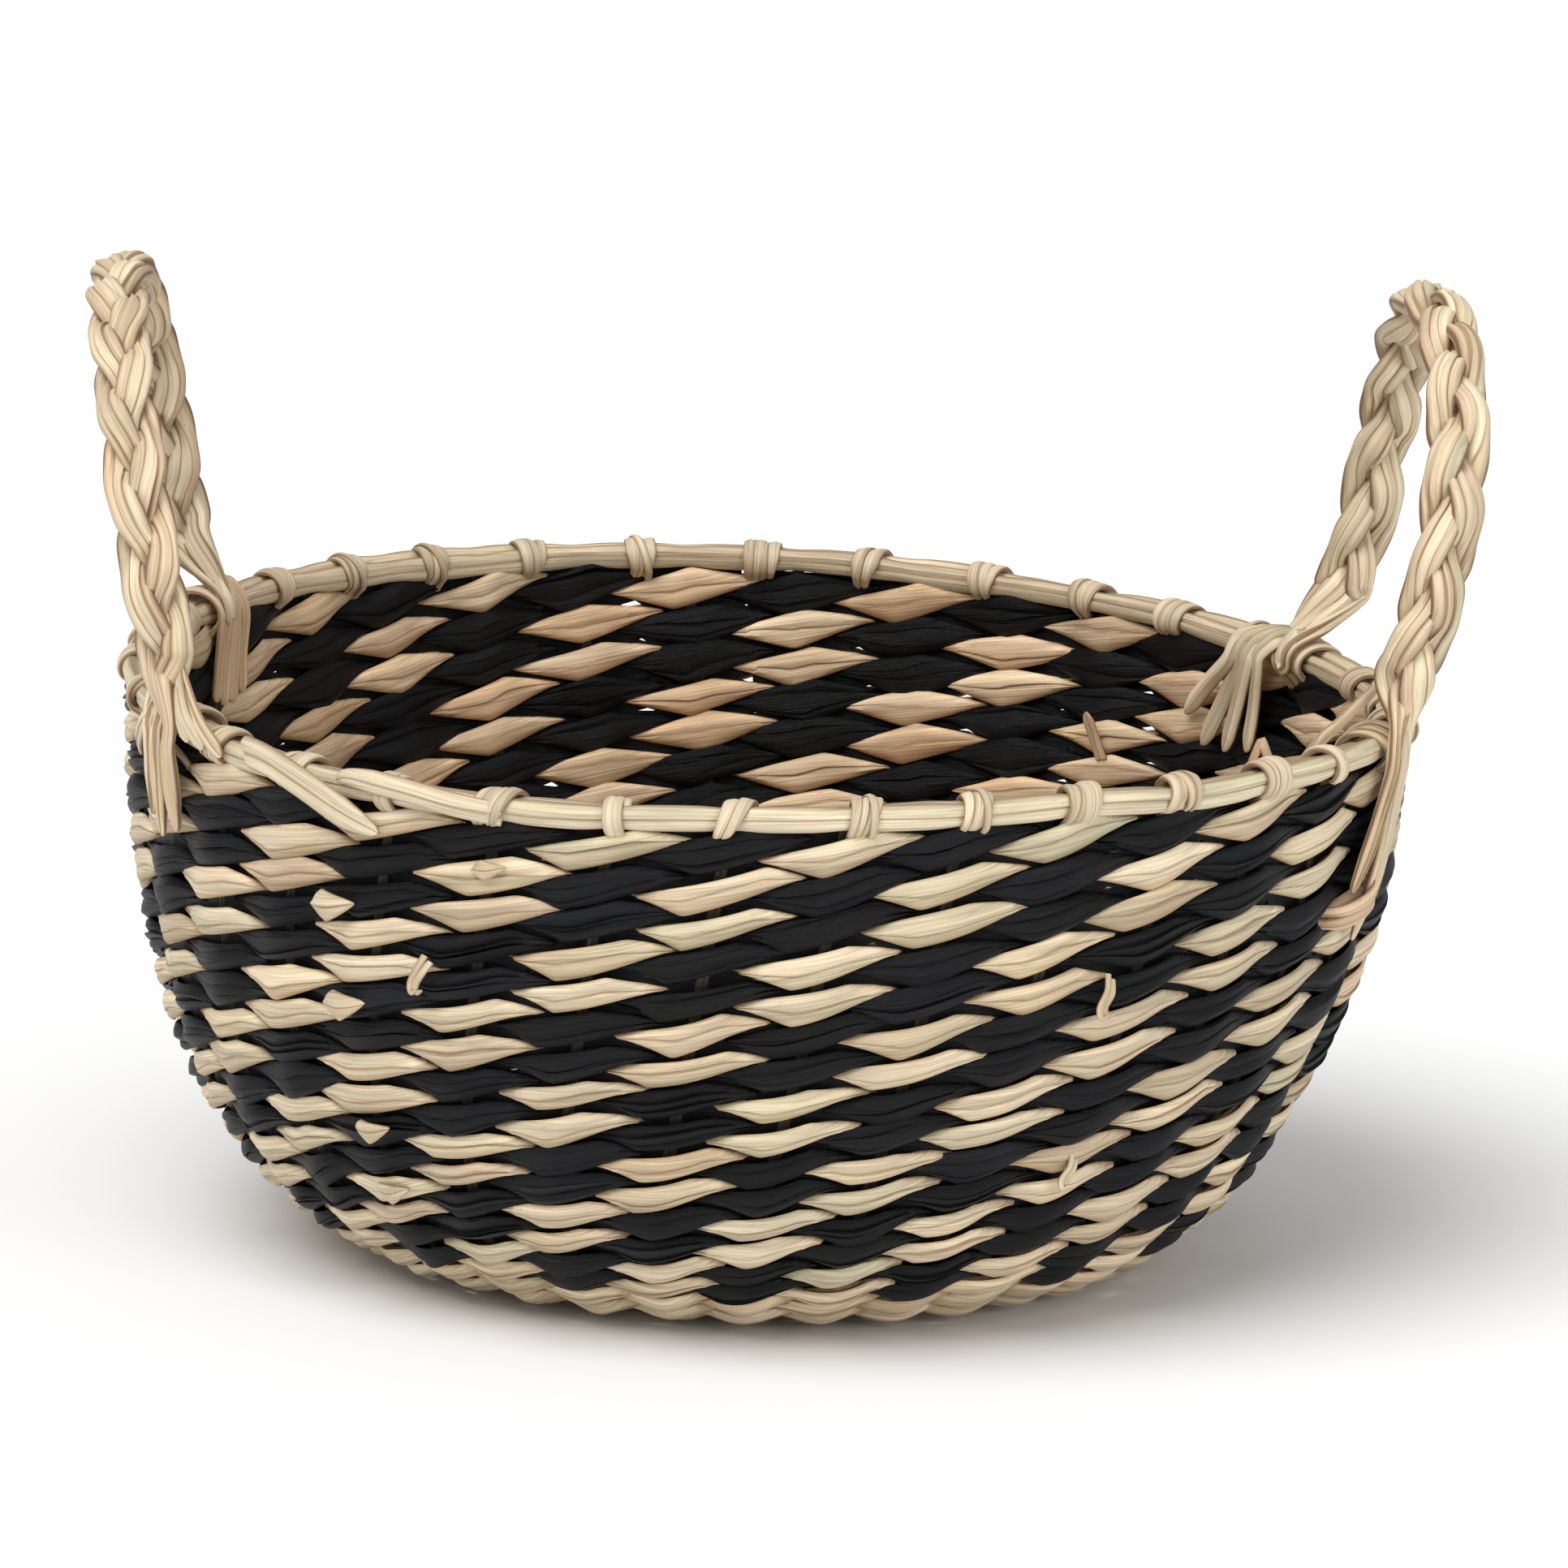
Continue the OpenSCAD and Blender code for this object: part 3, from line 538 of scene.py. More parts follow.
# ------------------------------------------------ materials
def rush(name, rough, streak, bump, sheen, spec, spots=0.0):
    """A dried leaf in its own tint, with streaks, ridges and brown flecks that run along its fibres."""
    mat = bpy.data.materials.new(name)
    mat.use_nodes = True
    tree = mat.node_tree
    tree.nodes.clear()
    new, link = tree.nodes.new, tree.links.new

    def attribute(which):
        node = new("ShaderNodeAttribute")
        node.attribute_name = which
        return node

    def noise(stretch, detail, roughness=0.5):
        """Noise over the fibre coordinates, which run along the strand, across it, and from leaf to leaf."""
        scale = new("ShaderNodeVectorMath")
        scale.operation = "MULTIPLY"
        scale.inputs[1].default_value = stretch
        link(fib.outputs["Vector"], scale.inputs[0])
        node = new("ShaderNodeTexNoise")
        node.inputs["Scale"].default_value = 1.0
        node.inputs["Detail"].default_value = detail
        node.inputs["Roughness"].default_value = roughness
        link(scale.outputs[0], node.inputs["Vector"])
        return node.outputs["Fac"]

    def mapped(value, *limits):
        """A value brought from one range to another."""
        node = new("ShaderNodeMapRange")
        for key, limit in zip(("From Min", "From Max", "To Min", "To Max"), limits):
            node.inputs[key].default_value = limit
        link(value, node.inputs["Value"])
        return node.outputs[0]

    surface = new("ShaderNodeBsdfPrincipled")
    link(surface.outputs[0], new("ShaderNodeOutputMaterial").inputs[0])
    fib, tint = attribute("fib"), attribute("tint")
    fine = noise((0.035, 2.1, 1.0), 5.0, 0.62)
    broad = noise((0.02, 0.45, 1.0), 3.0)
    streaks = new("ShaderNodeMath")
    streaks.operation = "MULTIPLY"
    link(mapped(fine, 0.28, 0.74, 1.0 - streak, 1.0 + 0.55 * streak), streaks.inputs[0])
    link(mapped(broad, 0.3, 0.7, 1.0 - 0.7 * streak, 1.0 + 0.45 * streak), streaks.inputs[1])
    color = new("ShaderNodeVectorMath")
    color.operation = "SCALE"
    link(tint.outputs["Color"], color.inputs[0])
    link(streaks.outputs[0], color.inputs["Scale"])
    last = color.outputs[0]
    if spots:
        flecks = new("ShaderNodeMix")
        flecks.data_type = "RGBA"
        flecks.inputs["B"].default_value = (0.33, 0.19, 0.085, 1)
        link(mapped(noise((0.16, 0.9, 1.0), 2.0), 0.66, 0.78, 0.0, spots), flecks.inputs["Factor"])
        link(last, flecks.inputs["A"])
        last = flecks.outputs["Result"]
    link(last, surface.inputs["Base Color"])
    link(mapped(broad, 0.0, 1.0, rough - 0.08, rough + 0.12), surface.inputs["Roughness"])
    surface.inputs["Specular IOR Level"].default_value = spec
    surface.inputs["Sheen Weight"].default_value = sheen
    surface.inputs["Sheen Roughness"].default_value = 0.5
    ridges = new("ShaderNodeBump")
    ridges.inputs["Strength"].default_value = bump
    ridges.inputs["Distance"].default_value = 0.0006
    link(fine, ridges.inputs["Height"])
    link(ridges.outputs[0], surface.inputs["Normal"])
    return mat


M_PALE = rush("rush_pale", rough=0.56, streak=0.38, bump=0.6, sheen=0.08, spec=0.38, spots=0.5)
M_PLAIT = rush("rush_plait", rough=0.54, streak=0.30, bump=0.5, sheen=0.08, spec=0.40, spots=0.4)
M_DYED = rush("rush_dyed", rough=0.44, streak=0.8, bump=1.0, sheen=0.0, spec=0.22)

# ------------------------------------------------ the courses of the wall
for k in range(1, COURSES + 1):
    flip = (k // 2) % 2
    parts = [twined(k, flip, STAKES, BLACK, BLACK, 1000 + k, DYED, full=(1.03, 1.03)), lining(k, 1100 + k)]
    ob = add_object("dyed_strand_%02d" % k, parts, M_DYED, "basket")
    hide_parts("course_%02d_dyed_strand" % k)
    parts = [twined(k, 1 - flip, STAKES, PALE, WARM, 2000 + k, PLAIN, full=(1.0, 0.96))]
    ob = add_object("plain_strand_%02d" % k, parts, M_PALE, "basket")
    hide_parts("course_%02d_plain_strand" % k)
for k in (16, 17):
    parts = [twined(k, p, STAKES, PALE, WARM, 3000 + 10 * k + p) for p in (0, 1)]
    ob = add_object("plain_pair_%02d" % k, parts, M_PALE, "basket")
    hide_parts("course_%02d_plain_pair" % k)
for j in range(7, 0, -1):
    k = 25 - j
    n = STAKES if j > 3 else STAKES // 2 + 1
    parts = [twined(k, p, n, PALE, WARM, 4000 + 10 * k + p, flat=True) for p in (0, 1)]
    ob = add_object("bottom_twining_%d" % j, parts, M_PALE, "basket")
    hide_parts("bottom_round_%d" % j)

# ------------------------------------------------ stakes and the cross in the bottom
# the stakes take the near-black STAKE colours: painted shade for the gaps between the floats
parts = []
for i in range(STAKES):
    s = np.linspace(-64, RUN - 2.5, 70)
    line, out = outward(STAKE_A0 + i * STEP + drift(s), s, np.zeros_like(s))
    w = np.interp(s, [-64, 0], [1.7, 2.1])
    parts.append(bundle(line, out, w, 0.8, STAKE, 5000 + i, leaves=2, tilt0=0.12))
ob = add_object("stakes_strips", parts, M_PALE, "basket")
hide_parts("stakes")

CROSS_R = 31.5  # the cross is round, and its strips end just past this radius
for name, count, turn, seed in (("lower", 9, 0, 6000), ("upper", 8, 1, 6100)):
    parts = []
    gap = 2 * CROSS_R / (count + 0.2)
    other = 2 * CROSS_R / ((9 if count == 8 else 8) + 0.2)
    for i in range(count):
        y = (i - (count - 1) / 2) * gap
        half = math.sqrt(max(CROSS_R**2 - (abs(y) + 0.3 * gap) ** 2, 16)) + 3.5
        x = np.linspace(-half, half, 46)
        wave = np.cos(math.pi * (x / other + i + turn)) * (-1 if turn else 1)
        z = 3.3 + 1.45 * wave
        aside = np.full_like(x, y)
        line = np.stack([aside, x, z] if turn else [x, aside, z], 1)
        out = np.tile([0.0, 0.0, 1.0], (len(x), 1))
        parts.append(bundle(line, out, 0.47 * gap, 1.35, PALE, seed + i, leaves=2, tilt0=0.16))
    ob = add_object("bottom_cross_" + name + "_strips", parts, M_PALE, "basket")
    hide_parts("bottom_cross_" + name)

# ------------------------------------------------ rim
RIM_R = 170.0  # turns a length along the rim into degrees


def rim_ring(n0, ds, w, h, seed):
    """One strand of the rim, n0 outwards from the wall's middle and ds above the rim's middle."""
    rng = np.random.default_rng(seed)
    count = STAKES * 16
    phi = np.arange(count) * 360.0 / count
    s = RUN + ds + 0.45 * smooth_noise(rng, count, 30)
    line, out = outward(phi, s, n0 + 0.30 * smooth_noise(rng, count, 30))
    pinch = 1 - 0.14 * np.abs(np.cos(np.radians((phi - STAKE_A0) / STEP * 180))) ** 6
    return bundle(
        line, out, w * pinch, h * pinch, RIM, seed, leaves=2, closed=True, tilt0=0.26, knots=26, power=2.2
    )


ob = add_object("rim_outer_bundle", [rim_ring(2.2, 0.2, 3.55, 2.35, 7001)], M_PALE, "basket")
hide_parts("rim_outer_strand")
ob = add_object("rim_inner_bundle", [rim_ring(-2.2, -0.1, 3.35, 2.3, 7002)], M_PALE, "basket")
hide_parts("rim_inner_strand")


def loop_line(phi, turns, start, adv, tilt, count, rn, rs, tuck=1.5):
    """A strip wound round the rim: so many turns from start, moving adv mm along the rim, rn out from its
    middle and rs up from it, its ends tucked into the wall."""
    f = np.linspace(0, 1, count)
    a = start + f * turns * 2 * math.pi
    end = np.clip(1 - f / 0.12, 0, 1) + np.clip(1 - (1 - f) / 0.12, 0, 1)
    n = rn * np.sin(a) * (1 - 0.8 * end)
    s = RUN + rs * np.cos(a) - tuck * end
    p = phi + np.degrees((adv * (f - 0.5) + tilt * np.cos(a)) / RIM_R)
    line = wall(p, s, n)
    mid = wall(p, np.full_like(p, RUN), np.zeros_like(p))
    return line, unit(line - mid)


def wedge(phi, seed, adv, tilt, foot_w, top_w, lift=0.0, leaves=2):
    """A flat stake end folded over the rim: narrow where it comes up outside, wide on top."""
    line, out = loop_line(phi, 0.88, math.pi * 1.12, adv, tilt, 56, rn=5.4 + lift, rs=4.5 + lift)
    f = np.linspace(0, 1, 56)
    w = np.interp(f, [0, 0.3, 0.55, 0.75, 1], [foot_w, top_w, top_w, 0.8 * top_w, foot_w])
    return bundle(line, out, w, 0.85, KNOT, seed, leaves=leaves, tilt0=0.32, power=3.0)


def knot(phi, kind, seed, rng):
    """A stake end folded over the rim, in one of five forms."""
    if kind == 0:  # two strips side by side
        slant = rng.uniform(-5.5, -3.0)
        places = enumerate((-0.75, 0.65))
        return [wedge(phi + d, seed + j, slant, 0.4, 1.9, 3.1, 0.35 * j) for j, d in places]
    if kind == 1:  # a wide fold, and a thin turn across it
        line, out = loop_line(phi + 0.3, 0.9, math.pi * 1.1, 3.5, 1.0, 44, rn=6.6, rs=5.7)
        thin = bundle(line, out, 1.1, 0.55, KNOT, seed + 1, leaves=1, tilt0=0.1)
        return [wedge(phi, seed, -4.5, 0.8, 2.0, 4.4, leaves=3), thin]
    if kind == 2:  # one slanted leaf
        return [wedge(phi, seed, -8.5, 0.6, 1.8, 3.9, 0.3)]
    if kind == 3:  # two strips that spread apart upwards
        return [wedge(phi + 0.55 * d, seed + d, -3.5 + 3.4 * d, 0.5, 2.1, 3.2, 0.2 * d) for d in (-1, 1)]
    # a bump of three thin turns
    line, out = loop_line(phi, 2.8, math.pi * 0.78, 5.6, 0.8 * rng.normal(), 96, rn=5.5, rs=4.7)
    return [bundle(line, out, 1.75, 0.9, KNOT, seed, leaves=1, tilt0=0.12)]


parts = []
rng = np.random.default_rng(77)
KNOT_SKIP = (7, 11, 23, 28)  # a handle's foot stands in their place
KNOT_SHARES = [0.28, 0.24, 0.16, 0.16, 0.16]  # how often each form comes
for i in range(STAKES):
    phi = STAKE_A0 + i * STEP + rng.normal() * 0.3
    phi += 1.2 * math.exp(-(((phi + 50) / 45) ** 2)) + knot_lag(phi)
    kind = rng.choice(5, p=KNOT_SHARES)
    if i not in KNOT_SKIP:
        parts += knot(phi, kind, 8000 + 10 * i, rng)
# one stake end stands up inside the rim
rows = [
    (-38.6, RUN - 2, -5.6), (-37.6, RUN + 3.5, -5.8), (-36.8, RUN + 8, -5.6),
    (-36.6, RUN + 8.2, -5.2), (-35.6, RUN + 3.5, -4.8), (-34.4, RUN, -4.6),
]
line, out = wall_line(rows, 50)
parts.append(bundle(line, out, 1.7, 0.6, WARM, 8801, leaves=1, taper=(0, 0.2), tilt0=0.2))
ob = add_object("rim_knot_wraps", parts, M_PALE, "basket")
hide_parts("rim_knots")

# ------------------------------------------------ handles
HINGE_Z = 164.0
LEG_TURN = math.radians(16.0)  # each leg bends by this much, and the arch by the rest of a half turn
LEG_HALF = LEG_TURN / 2
PLAIT_TURNS, PLAIT_SIDE, PLAIT_DEEP = 3.75, 4.7, 3.3
# For each handle: direction round the bowl, distance of its hinge line, half the distance between its feet,
# bow outwards, height of its legs, and lean.
SIDES = {"right": (4.0, 161.0, 66.0, 6.0, 44.4, 8.6), "left": (182.5, 158.5, 71.5, -1.5, 33.7, 11.5)}


class Handle:
    """The middle line of a plaited handle, and the three strands that wind round it."""

    def __init__(self, side):
        self.a, self.foot_x, self.foot_y, self.bow, self.leg_h, lean = SIDES[side]
        self.leg_r = self.leg_h / (2 * math.sin(LEG_HALF))
        self.leg_l = self.leg_r * LEG_TURN
        self.arch_r = self.foot_y / math.cos(LEG_HALF)
        self.arch_l = self.arch_r * (math.pi - LEG_TURN)
        self.length = 2 * self.leg_l + self.arch_l
        self.top = self.leg_h + self.arch_r * (1 - math.sin(LEG_HALF))
        self.foot_a = math.degrees(math.atan(self.foot_y / self.foot_x))
        lean = math.radians(lean)
        self.plane_x = np.array([math.cos(lean), 0, -math.sin(lean)])
        self.plane_z = np.array([math.sin(lean), 0, math.cos(lean)])

    def middle(self, t):
        """The handle's middle line: sideways place, height and heading."""
        back = t > self.leg_l + self.arch_l
        u = np.where(back, self.length - t, t)
        q1 = math.pi / 2 + LEG_HALF - u / self.leg_r
        y1 = -self.foot_y + self.leg_r * (math.cos(LEG_HALF) - np.cos(q1 - math.pi / 2))
        z1 = self.leg_r * (math.sin(LEG_HALF) + np.sin(math.pi / 2 - q1))
        q2 = math.pi / 2 - LEG_HALF - (t - self.leg_l) / self.arch_r
        y2 = -self.arch_r * np.sin(q2)
        z2 = self.leg_h + self.arch_r * (np.cos(q2) - math.sin(LEG_HALF))
        leg = (t < self.leg_l) | back
        y = np.where(leg, y1, y2) * np.where(back, -1, 1)
        return y, np.where(leg, z1, z2), np.where(leg, np.where(back, -q1, q1), q2)

    def strand(self, t, part, rng):
        """Middle of one strand of the plait, the way out of its flat side, and its phase."""
        y, z, q = self.middle(t)
        f = np.minimum(1, 0.60 + 0.40 * np.minimum(t, self.length - t) / 16)
        ang = 2 * math.pi * PLAIT_TURNS * t / self.length + 2 * math.pi * part / 3
        ang = ang + 0.10 * smooth_noise(rng, len(t), 13, (), False)
        side = f * PLAIT_SIDE * np.cos(ang)
        deep = f * PLAIT_DEEP * np.sin(2 * ang)
        up = z / self.top
        wander = 0.8 * np.sin(t / 31 + self.a) * np.clip(np.minimum(t, self.length - t) / 30, 0, 1)
        p = (
            np.array([self.foot_x, 0, HINGE_Z + 1])
            + self.plane_x * (side + self.bow * 4 * up * (1 - up) + wander)[:, None]
            + np.array([0, 1, 0]) * (y - deep * np.sin(q))[:, None]
            + self.plane_z * (z + deep * np.cos(q))[:, None]
        )
        up_v = np.array([0, 1, 0]) * (-np.sin(q))[:, None] + self.plane_z * np.cos(q)[:, None]
        # a strand tips towards the plait's edge where it turns round it
        up_v = unit(up_v + self.plane_x * (0.55 * np.cos(ang) * np.sin(2 * ang))[:, None])
        return turned(p, self.a), turned(up_v, self.a), ang


def turned(p, a):
    """Points turned about the upright axis by a degrees."""
    a = math.radians(a)
    c, s = math.cos(a), math.sin(a)
    return np.stack([p[..., 0] * c - p[..., 1] * s, p[..., 0] * s + p[..., 1] * c, p[..., 2]], -1)


PLAIT = [(1.18 * CREAM, 0.36), (1.14 * STRAW, 0.22), (1.1 * PINK, 0.2), (1.1 * TAN, 0.16), (GREEN, 0.06)]
# where the strands of each foot end on the wall: degrees from the foot, mm from the rim's middle, depth
ENDS = {
    ("right", -1): ([(-7.2, -34, 6.4), (-5.4, -48, 6.8), (-3.4, -41, 6.4)], 1),
    ("right", 1): ([(2.4, 1, -6.4), (1.6, 1, -6.4), (0.8, 1, -6.4)], -1),
    ("left", 1): ([(-2.7, -24, 6.8), (0.0, -28, 7.6), (2.5, -25, 6.8)], 1),
    ("left", -1): ([(1.0, 0, -6.4), (0.0, 0, -6.4), (-1.0, 0, -6.4)], -1),
}


def tail(h, side, foot, part):
    """Rows of point and outward direction from a strand's end on the wall up to the handle's foot."""
    ends, way = ENDS[(side, foot)]
    phi = h.a + foot * h.foot_a
    dphi, ds, n_end = ends[part]
    spread = (1.45 if side == "right" else 1.8) if way > 0 else 0.6
    rows = []
    for f in (0.0, 0.3, 0.62, 0.9):
        n = n_end + way * (0.5 + 1.6 * f)
        rows.append((phi + dphi * (1 - f) ** 1.2 + (part - 1) * spread * f, RUN + ds * (1 - f) - 1, n))
    rows.append((phi + (part - 1) * spread, RUN + (4.5 if way > 0 else 5.5), 8.2 if way > 0 else -6.2))
    r = np.array(rows)
    q, o = outward(r[:, 0], r[:, 1], r[:, 2])
    return np.concatenate([q, unit(o)], 1)


def off_plait(rows):
    """Rows of a tail with two more columns: how wide the strand lies, and that it isn't in the plait."""
    return np.concatenate([rows, np.full((len(rows), 1), 0.4), np.zeros((len(rows), 1))], 1)


def handle_strand(h, side, part, seed):
    """One strand of a plait from its end on the wall, through the plait, to its other end on the wall."""
    rng = np.random.default_rng(seed)
    t = np.linspace(0, h.length, 240)
    p, up, ang = h.strand(t, part, rng)
    core = np.concatenate([p, up, np.abs(np.sin(2 * ang))[:, None], np.ones((len(t), 1))], 1)[7:-7]
    order = np.argsort(np.argsort([math.cos(2 * math.pi * (j / 3)) for j in range(3)]))[part]
    order2 = np.argsort(np.argsort([-math.cos(2 * math.pi * (PLAIT_TURNS + j / 3)) for j in range(3)]))[part]
    if side == "left":
        order, order2 = 2 - order, 2 - order2
    first, last = tail(h, side, -1, order), tail(h, side, 1, order2)[::-1]
    first[:, 3:6] *= np.where((first[:, 3:6] @ core[0, 3:6]) < 0, -1, 1)[:, None]
    last[:, 3:6] *= np.where((last[:, 3:6] @ core[-1, 3:6]) < 0, -1, 1)[:, None]
    line = spline(np.concatenate([off_plait(first), core[::6], core[-1:], off_plait(last)]), 640)
    wide, mix = np.clip(line[:, 6], 0, 1), np.clip(line[:, 7], 0, 1)
    mix = mix * mix * (3 - 2 * mix)
    w = 3.7 + mix * (-0.35 + 1.45 * wide) + 0.25 * smooth_noise(rng, len(line), 26, (), False)
    hh = 1.2 + 1.1 * mix + 0.15 * smooth_noise(rng, len(line), 30, (), False)
    # painted shade: edge=0.9 darkens each strand's sides deeply, where the strands meet in the plait
    return bundle(line[:, :3], line[:, 3:6], w, hh, PLAIT, seed, leaves=3, taper=(0.03, 0.03), tilt0=0.55,
                  power=2.1, knots=24, edge=0.9)


def strip(rows, w, seed, h=0.8, palette=PLAIT, count=70, taper=(0, 0.1), leaves=2):
    """A flat leaf laid along rows of phi, s and n."""
    line, out = wall_line(rows, count)
    return bundle(line, out, w, h, palette, seed, leaves=leaves, taper=taper, tilt0=0.26, power=2.6)


def inside_fan(side, phi):
    """The strand ends that lie on the wall inside, at the handle's far foot."""
    parts = []
    if side == "right":
        # they run along the rim, fold sharply over it and spread down the wall
        sizes = ((6.6, 31, 2.7), (10.2, 33, 2.9), (13.6, 33, 3.0), (16.4, 25, 2.7))
        for i, (end, run, w) in enumerate(sizes):
            bend = 3.4 + 1.5 * i
            deep = 0.5 * (i % 2)
            rows = [
                (phi - 1.0 + 0.3 * i, RUN + 7, -2.5),
                (phi + 0.4 * bend, RUN + 6.2, -6.6),
                (phi + bend - 0.9, RUN + 3.2, -9.4),
                (phi + bend, RUN - 0.4, -10.6),
                (phi + bend + 0.10 * (end - bend), RUN - 5.0, -10.2 - deep),
                (phi + bend + 0.55 * (end - bend), RUN - 0.55 * run, -8.0 - deep),
                (phi + end, RUN - run, -6.6),
            ]
            parts.append(strip(rows, w, 9600 + i))
    else:
        sizes = ((1.9, 24, 2.6), (0.0, 26, 2.9), (-2.0, 26, 2.9), (-4.0, 24, 2.6))
        for i, (end, run, w) in enumerate(sizes):
            top = end * 0.8
            rows = [
                (phi + 0.3 * top, RUN + 6.5, -1.5),
                (phi + 0.7 * top, RUN + 5.6, -5.6),
                (phi + top, RUN - 1, -7.8 - 0.5 * (i % 2)),
                (phi + 0.5 * (top + end), RUN - 0.55 * run, -7.0),
                (phi + end, RUN - run, -6.4),
            ]
            parts.append(strip(rows, w, 9640 + i, palette=WARM, taper=(0, 0.05)))
    return parts


def foot_strips(side, near):
    """Loose leaves that bind the near foot."""
    if side == "right":
        parts = []
        for i in range(3):
            rows = [
                (near + 2, RUN + 15, -2.0), (near - 3, RUN + 8.5, -5.4),
                (near - 8, RUN + 3, -6.8), (near - 13.5 + i, RUN - 5 - 3 * i, -6.4),
            ]
            parts.append(strip(rows, 2.0 - 0.2 * i, 9700 + i, taper=(0, 0.3)))
        # a tie round the tail
        for i in range(2):
            s0 = RUN - 37 - 3.4 * i
            rows = [
                (near - 9.0, s0 - 4, 1.5), (near - 8.2, s0 - 2.6, 7.0), (near - 5.6, s0, 9.4),
                (near - 3.2, s0 + 2.4, 8.0), (near - 2.4, s0 + 4, 1.5),
            ]
            parts.append(strip(rows, 2.0, 9710 + i, palette=WARM, taper=(0, 0)))
        return parts
    # a fan of three leaves from the plait down to the rim, and one across the tail
    parts = []
    for i, end in enumerate((4.4, 7.0, 9.8)):
        rows = [
            (near - 0.8, RUN + 18, 1.5), (near + 0.36 * end, RUN + 12.5, 5.2 + 0.5 * (i % 2)),
            (near + 0.7 * end, RUN + 6.2, 7.2 + 0.5 * (i % 2)), (near + end, RUN - 0.5, 6.4),
        ]
        parts.append(strip(rows, 2.9, 9720 + 2 * i, h=0.7, taper=(0.1, 0.1)))
    rows = [
        (near + 2, RUN + 8, 5.0), (near - 2, RUN + 2, 8.8),
        (near - 5.5, RUN - 6, 8.0), (near - 7.0, RUN - 12, 6.2),
    ]
    parts.append(strip(rows, 2.6, 9721, taper=(0, 0.2)))
    return parts


for side in ("right", "left"):
    handle = Handle(side)
    for part, letter in enumerate("abc"):
        mesh = handle_strand(handle, side, part, 9000 + 100 * part + (0 if side == "right" else 50))
        ob = add_object("plait_%s_%s" % (side, letter), [mesh], M_PLAIT)
        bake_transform(ob)
        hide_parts("handle_%s_strand_%s" % (side, letter))
    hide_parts("handle_%s_outside_tail" % side)
    near, far = (-1, 1) if side == "right" else (1, -1)
    parts = inside_fan(side, handle.a + far * handle.foot_a)
    ob = add_object("inside_tail_" + side, parts, M_PLAIT, "basket")
    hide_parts("handle_%s_inside_tail" % side)

    # wraps over the rim at both feet, and the loose leaves that bind the near one
    parts = foot_strips(side, handle.a + near * handle.foot_a)
    for foot in (-1, 1):
        phi = handle.a + foot * handle.foot_a
        for j in range(3):
            line, out = loop_line(phi + (j - 1) * 1.5, 0.9, math.pi * 1.1, 2.5 * (1 - j), 1.0 * (j - 1), 48,
                                  rn=7.0 + 0.5 * j, rs=5.2 + 0.5 * j, tuck=5)
            seed = 9500 + 10 * j + foot + len(side)
            parts.append(bundle(line, out, 2.2, 0.8, KNOT, seed, leaves=2, tilt0=0.26))
    ob = add_object("foot_wraps_" + side, parts, M_PLAIT, "basket")
    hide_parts("handle_%s_foot_wraps" % side)

# ------------------------------------------------ loose ends
SPLICE = [(1.15 * CREAM, 0.8), (STRAW, 0.2)]
ending = [
    (-143, RUN + 0.8, 0.5), (-140, RUN + 2.8, 4.6), (-136.5, RUN + 2.6, 6.6),
    (-132, RUN - 1, 7.4), (-128, RUN - 6, 7.2), (-124.6, RUN - 10, 6.2),
]
starting = [
    (-130, RUN + 1.0, 3.0), (-127.5, RUN + 3.8, 5.6), (-122, RUN + 3.4, 6.8),
    (-117, RUN + 1.2, 6.4), (-112.8, RUN - 0.5, 4.6),
]
parts = [
    strip(ending, 4.4, 9800, h=1.2, palette=SPLICE, taper=(0.15, 0.2)),
    strip(starting, 3.3, 9801, h=1.2, palette=SPLICE, taper=(0.3, 0)),
]
ob = add_object("rim_splice_leaf", parts, M_PALE, "basket")
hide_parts("rim_splice_end")


def chip(phi, s, size, seed):
    """The flat diamond-shaped end of a leaf, showing between two floats."""
    turn, rise = 0.31 * size, 0.16 * size
    rows = [
        (phi - turn, s - rise, 4.2), (phi - 0.3 * turn, s - 0.2 * rise, 6.7),
        (phi + 0.3 * turn, s + 0.3 * rise, 6.8), (phi + turn, s + rise, 4.6),
    ]
    line, out = wall_line(rows, 30)
    f = np.linspace(0, 1, 30)
    w = 0.2 + size * 0.56 * np.minimum(f / 0.46, (1 - f) / 0.54) ** 0.85
    return bundle(line, out, w, 0.7, PALE, seed, leaves=2, tilt0=0.25, power=2.6)


def curl(phi, s, size, seed):
    """A thin leaf end that hangs down and turns up at its tip."""
    rows = [
        (phi + 0.6, s + 0.5 * size, 4.0), (phi + 0.2, s + 0.1 * size, 6.4), (phi - 0.4, s - 0.4 * size, 6.8),
        (phi - 0.2, s - 0.7 * size, 7.8), (phi + 0.5, s - 0.55 * size, 8.2),
    ]
    return strip(rows, 1.0, seed, h=0.4, palette=PALE, count=36, taper=(0, 0.3), leaves=1)


# for each leaf end: degrees round the bowl, millimetres up along the wall, size
SPOTS = [(-130, 151, 8), (-129.5, 123, 8), (-128.5, 85, 7), (-128.5, 64, 7), (-114, 168, 5)]
CURLS = [(-121, 137, 8), (-57, 133.5, 9), (-56, 81, 8)]
parts = [chip(phi, s, size, 9900 + i) for i, (phi, s, size) in enumerate(SPOTS)]
parts += [curl(phi, s, size, 9950 + i) for i, (phi, s, size) in enumerate(CURLS)]
parts += [curl(phi + 0.55, s - 0.8, 0.8 * size, 9960 + i) for i, (phi, s, size) in enumerate(CURLS)]
# a broken leaf end that stands out of the wall inside
rows = [(53.5, RUN - 45, -5.0), (54.2, RUN - 38, -7.6), (54.8, RUN - 31, -10.0)]
parts.append(strip(rows, 1.9, 9990, h=0.5, palette=WARM, count=30, taper=(0, 0.2)))
ob = add_object("leaf_end_tufts", parts, M_PALE, "basket")
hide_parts("leaf_ends")

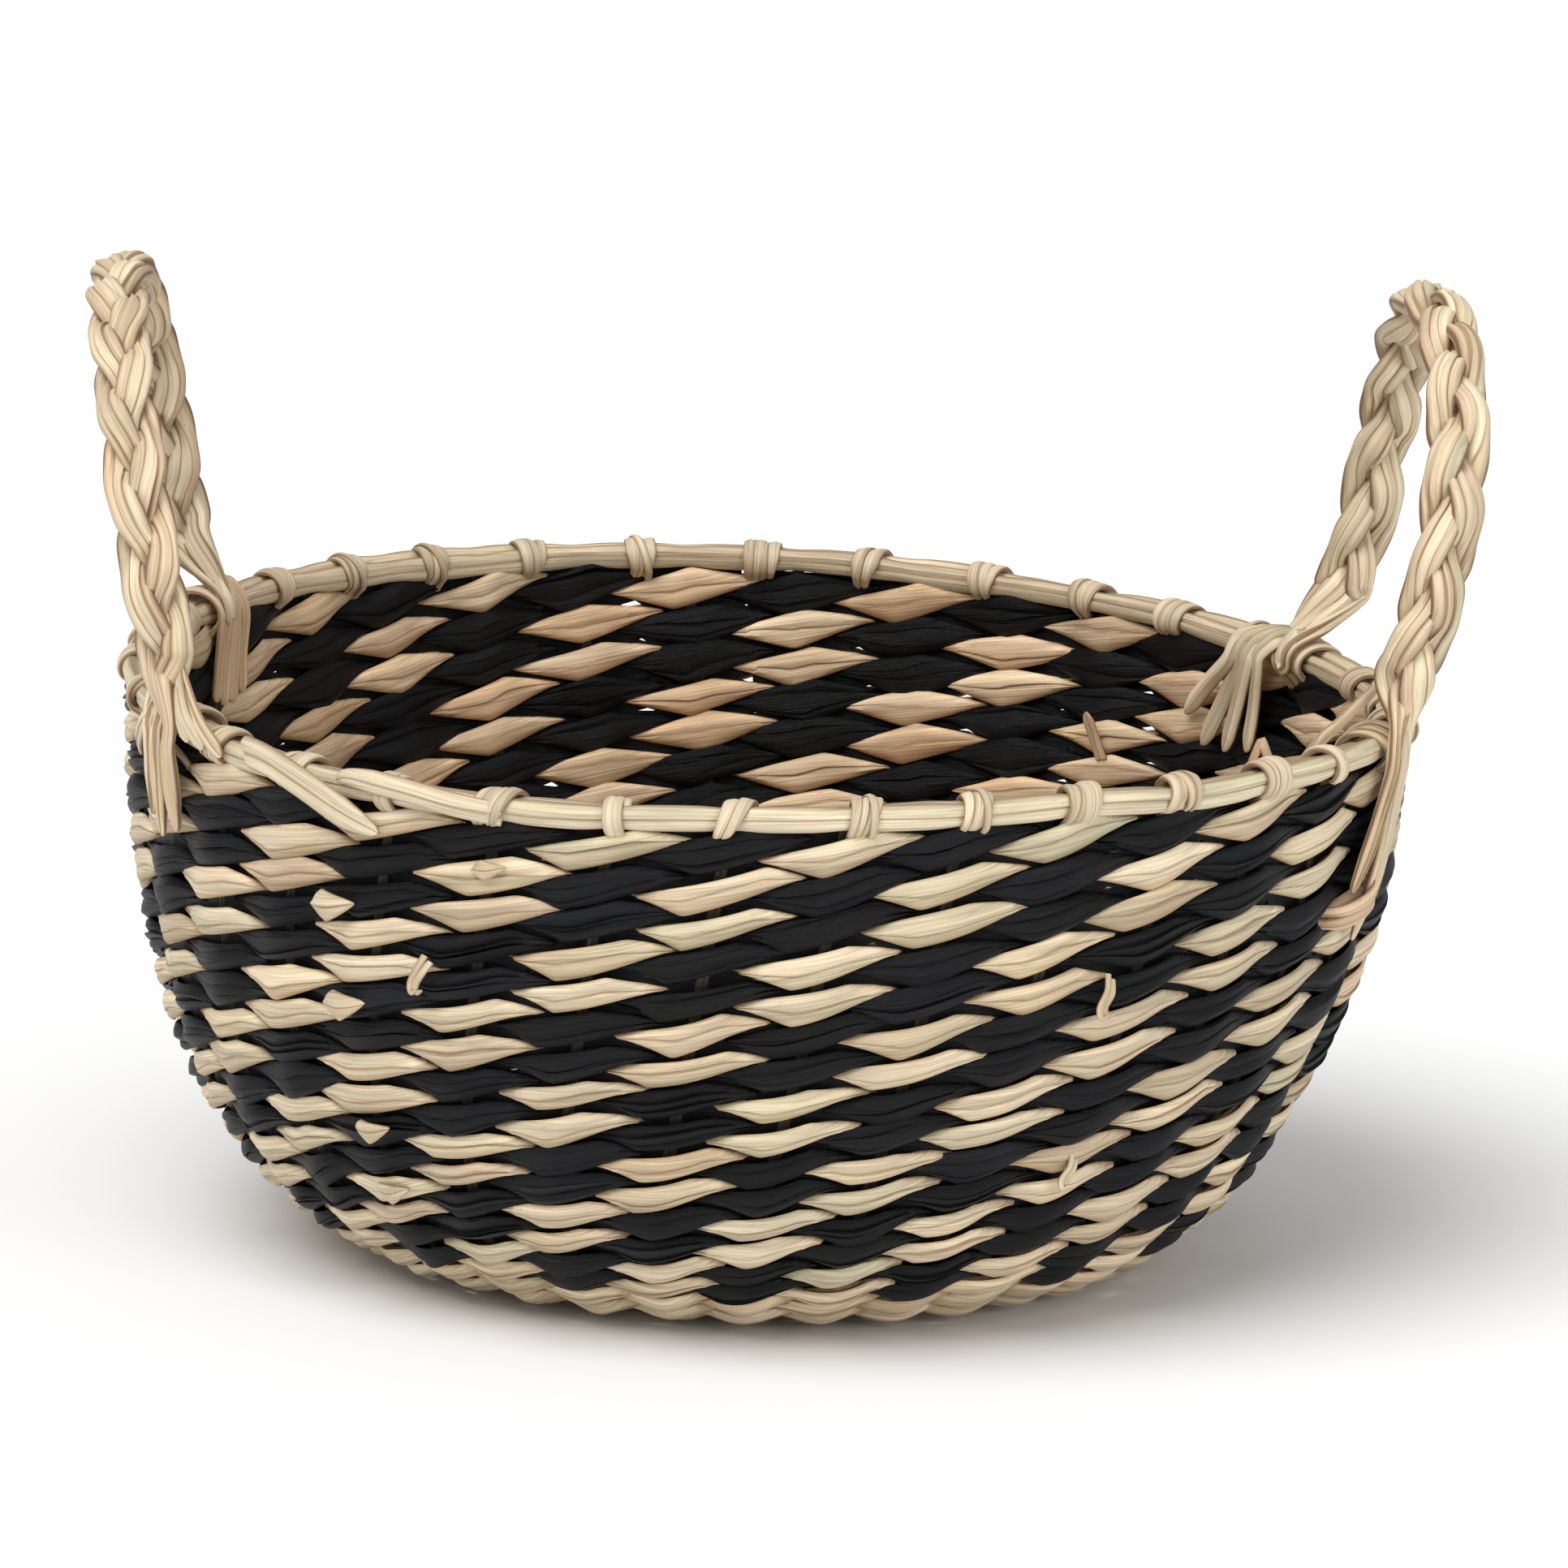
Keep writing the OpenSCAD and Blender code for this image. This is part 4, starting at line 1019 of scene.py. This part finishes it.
# ------------------------------------------------ floor, light and camera
def plain(name, color, rough):
    """A plain matt material."""
    mat = bpy.data.materials.new(name)
    mat.use_nodes = True
    surface = mat.node_tree.nodes["Principled BSDF"]
    surface.inputs["Base Color"].default_value = (*color, 1)
    surface.inputs["Roughness"].default_value = rough
    surface.inputs["Specular IOR Level"].default_value = 0.1
    return mat


bpy.ops.mesh.primitive_plane_add(size=40, location=(0, 0, 0))
floor = bpy.context.object
floor.name = "floor"
floor.data.materials.append(plain("floor_pale", (0.95, 0.95, 0.95), 0.95))


def area(name, loc, target, size, power):
    """A round area light, in metres and watts."""
    light = bpy.data.lights.new(name, "AREA")
    light.shape = "DISK"
    light.size = size
    light.energy = power
    ob = bpy.data.objects.new(name, light)
    ob.location = loc
    ob.rotation_euler = (Vector(target) - Vector(loc)).to_track_quat("-Z", "Y").to_euler()
    bpy.context.scene.collection.objects.link(ob)


sun = bpy.data.lights.new("sun", "SUN")
sun.energy = 2.25
sun.angle = math.radians(46)
sun_ob = bpy.data.objects.new("sun", sun)
sun_ob.rotation_euler = (-Vector((-0.42, -0.62, 1.15))).to_track_quat("-Z", "Y").to_euler()
bpy.context.scene.collection.objects.link(sun_ob)
area("fill", (1.8, -2.0, 0.9), (0, 0, 0.12), 1.2, 15)

world = bpy.data.worlds.new("studio")
world.use_nodes = True
background = world.node_tree.nodes["Background"]
background.inputs[0].default_value = (1, 1, 1, 1)
background.inputs[1].default_value = 0.50
bpy.context.scene.world = world
bpy.context.scene.view_settings.view_transform = "Standard"

# angle above the horizon, roll, distance, and the width in view at that distance, in metres
ELEV, ROLL, DIST, WIDE = math.radians(12.37), math.radians(1.83), 4.3, 0.4258
aim = Vector((0.0063, 0.0, 0.1271))
cam_data = bpy.data.cameras.new("camera")
cam_data.sensor_width = 36
cam_data.lens = 36 * DIST / WIDE
cam = bpy.data.objects.new("camera", cam_data)
cam.location = aim + DIST * Vector((0, -math.cos(ELEV), math.sin(ELEV)))
look = (aim - cam.location).to_track_quat("-Z", "Y")
cam.rotation_euler = (look @ Quaternion((0, 0, 1), ROLL)).to_euler()
bpy.context.scene.collection.objects.link(cam)
bpy.context.scene.camera = cam
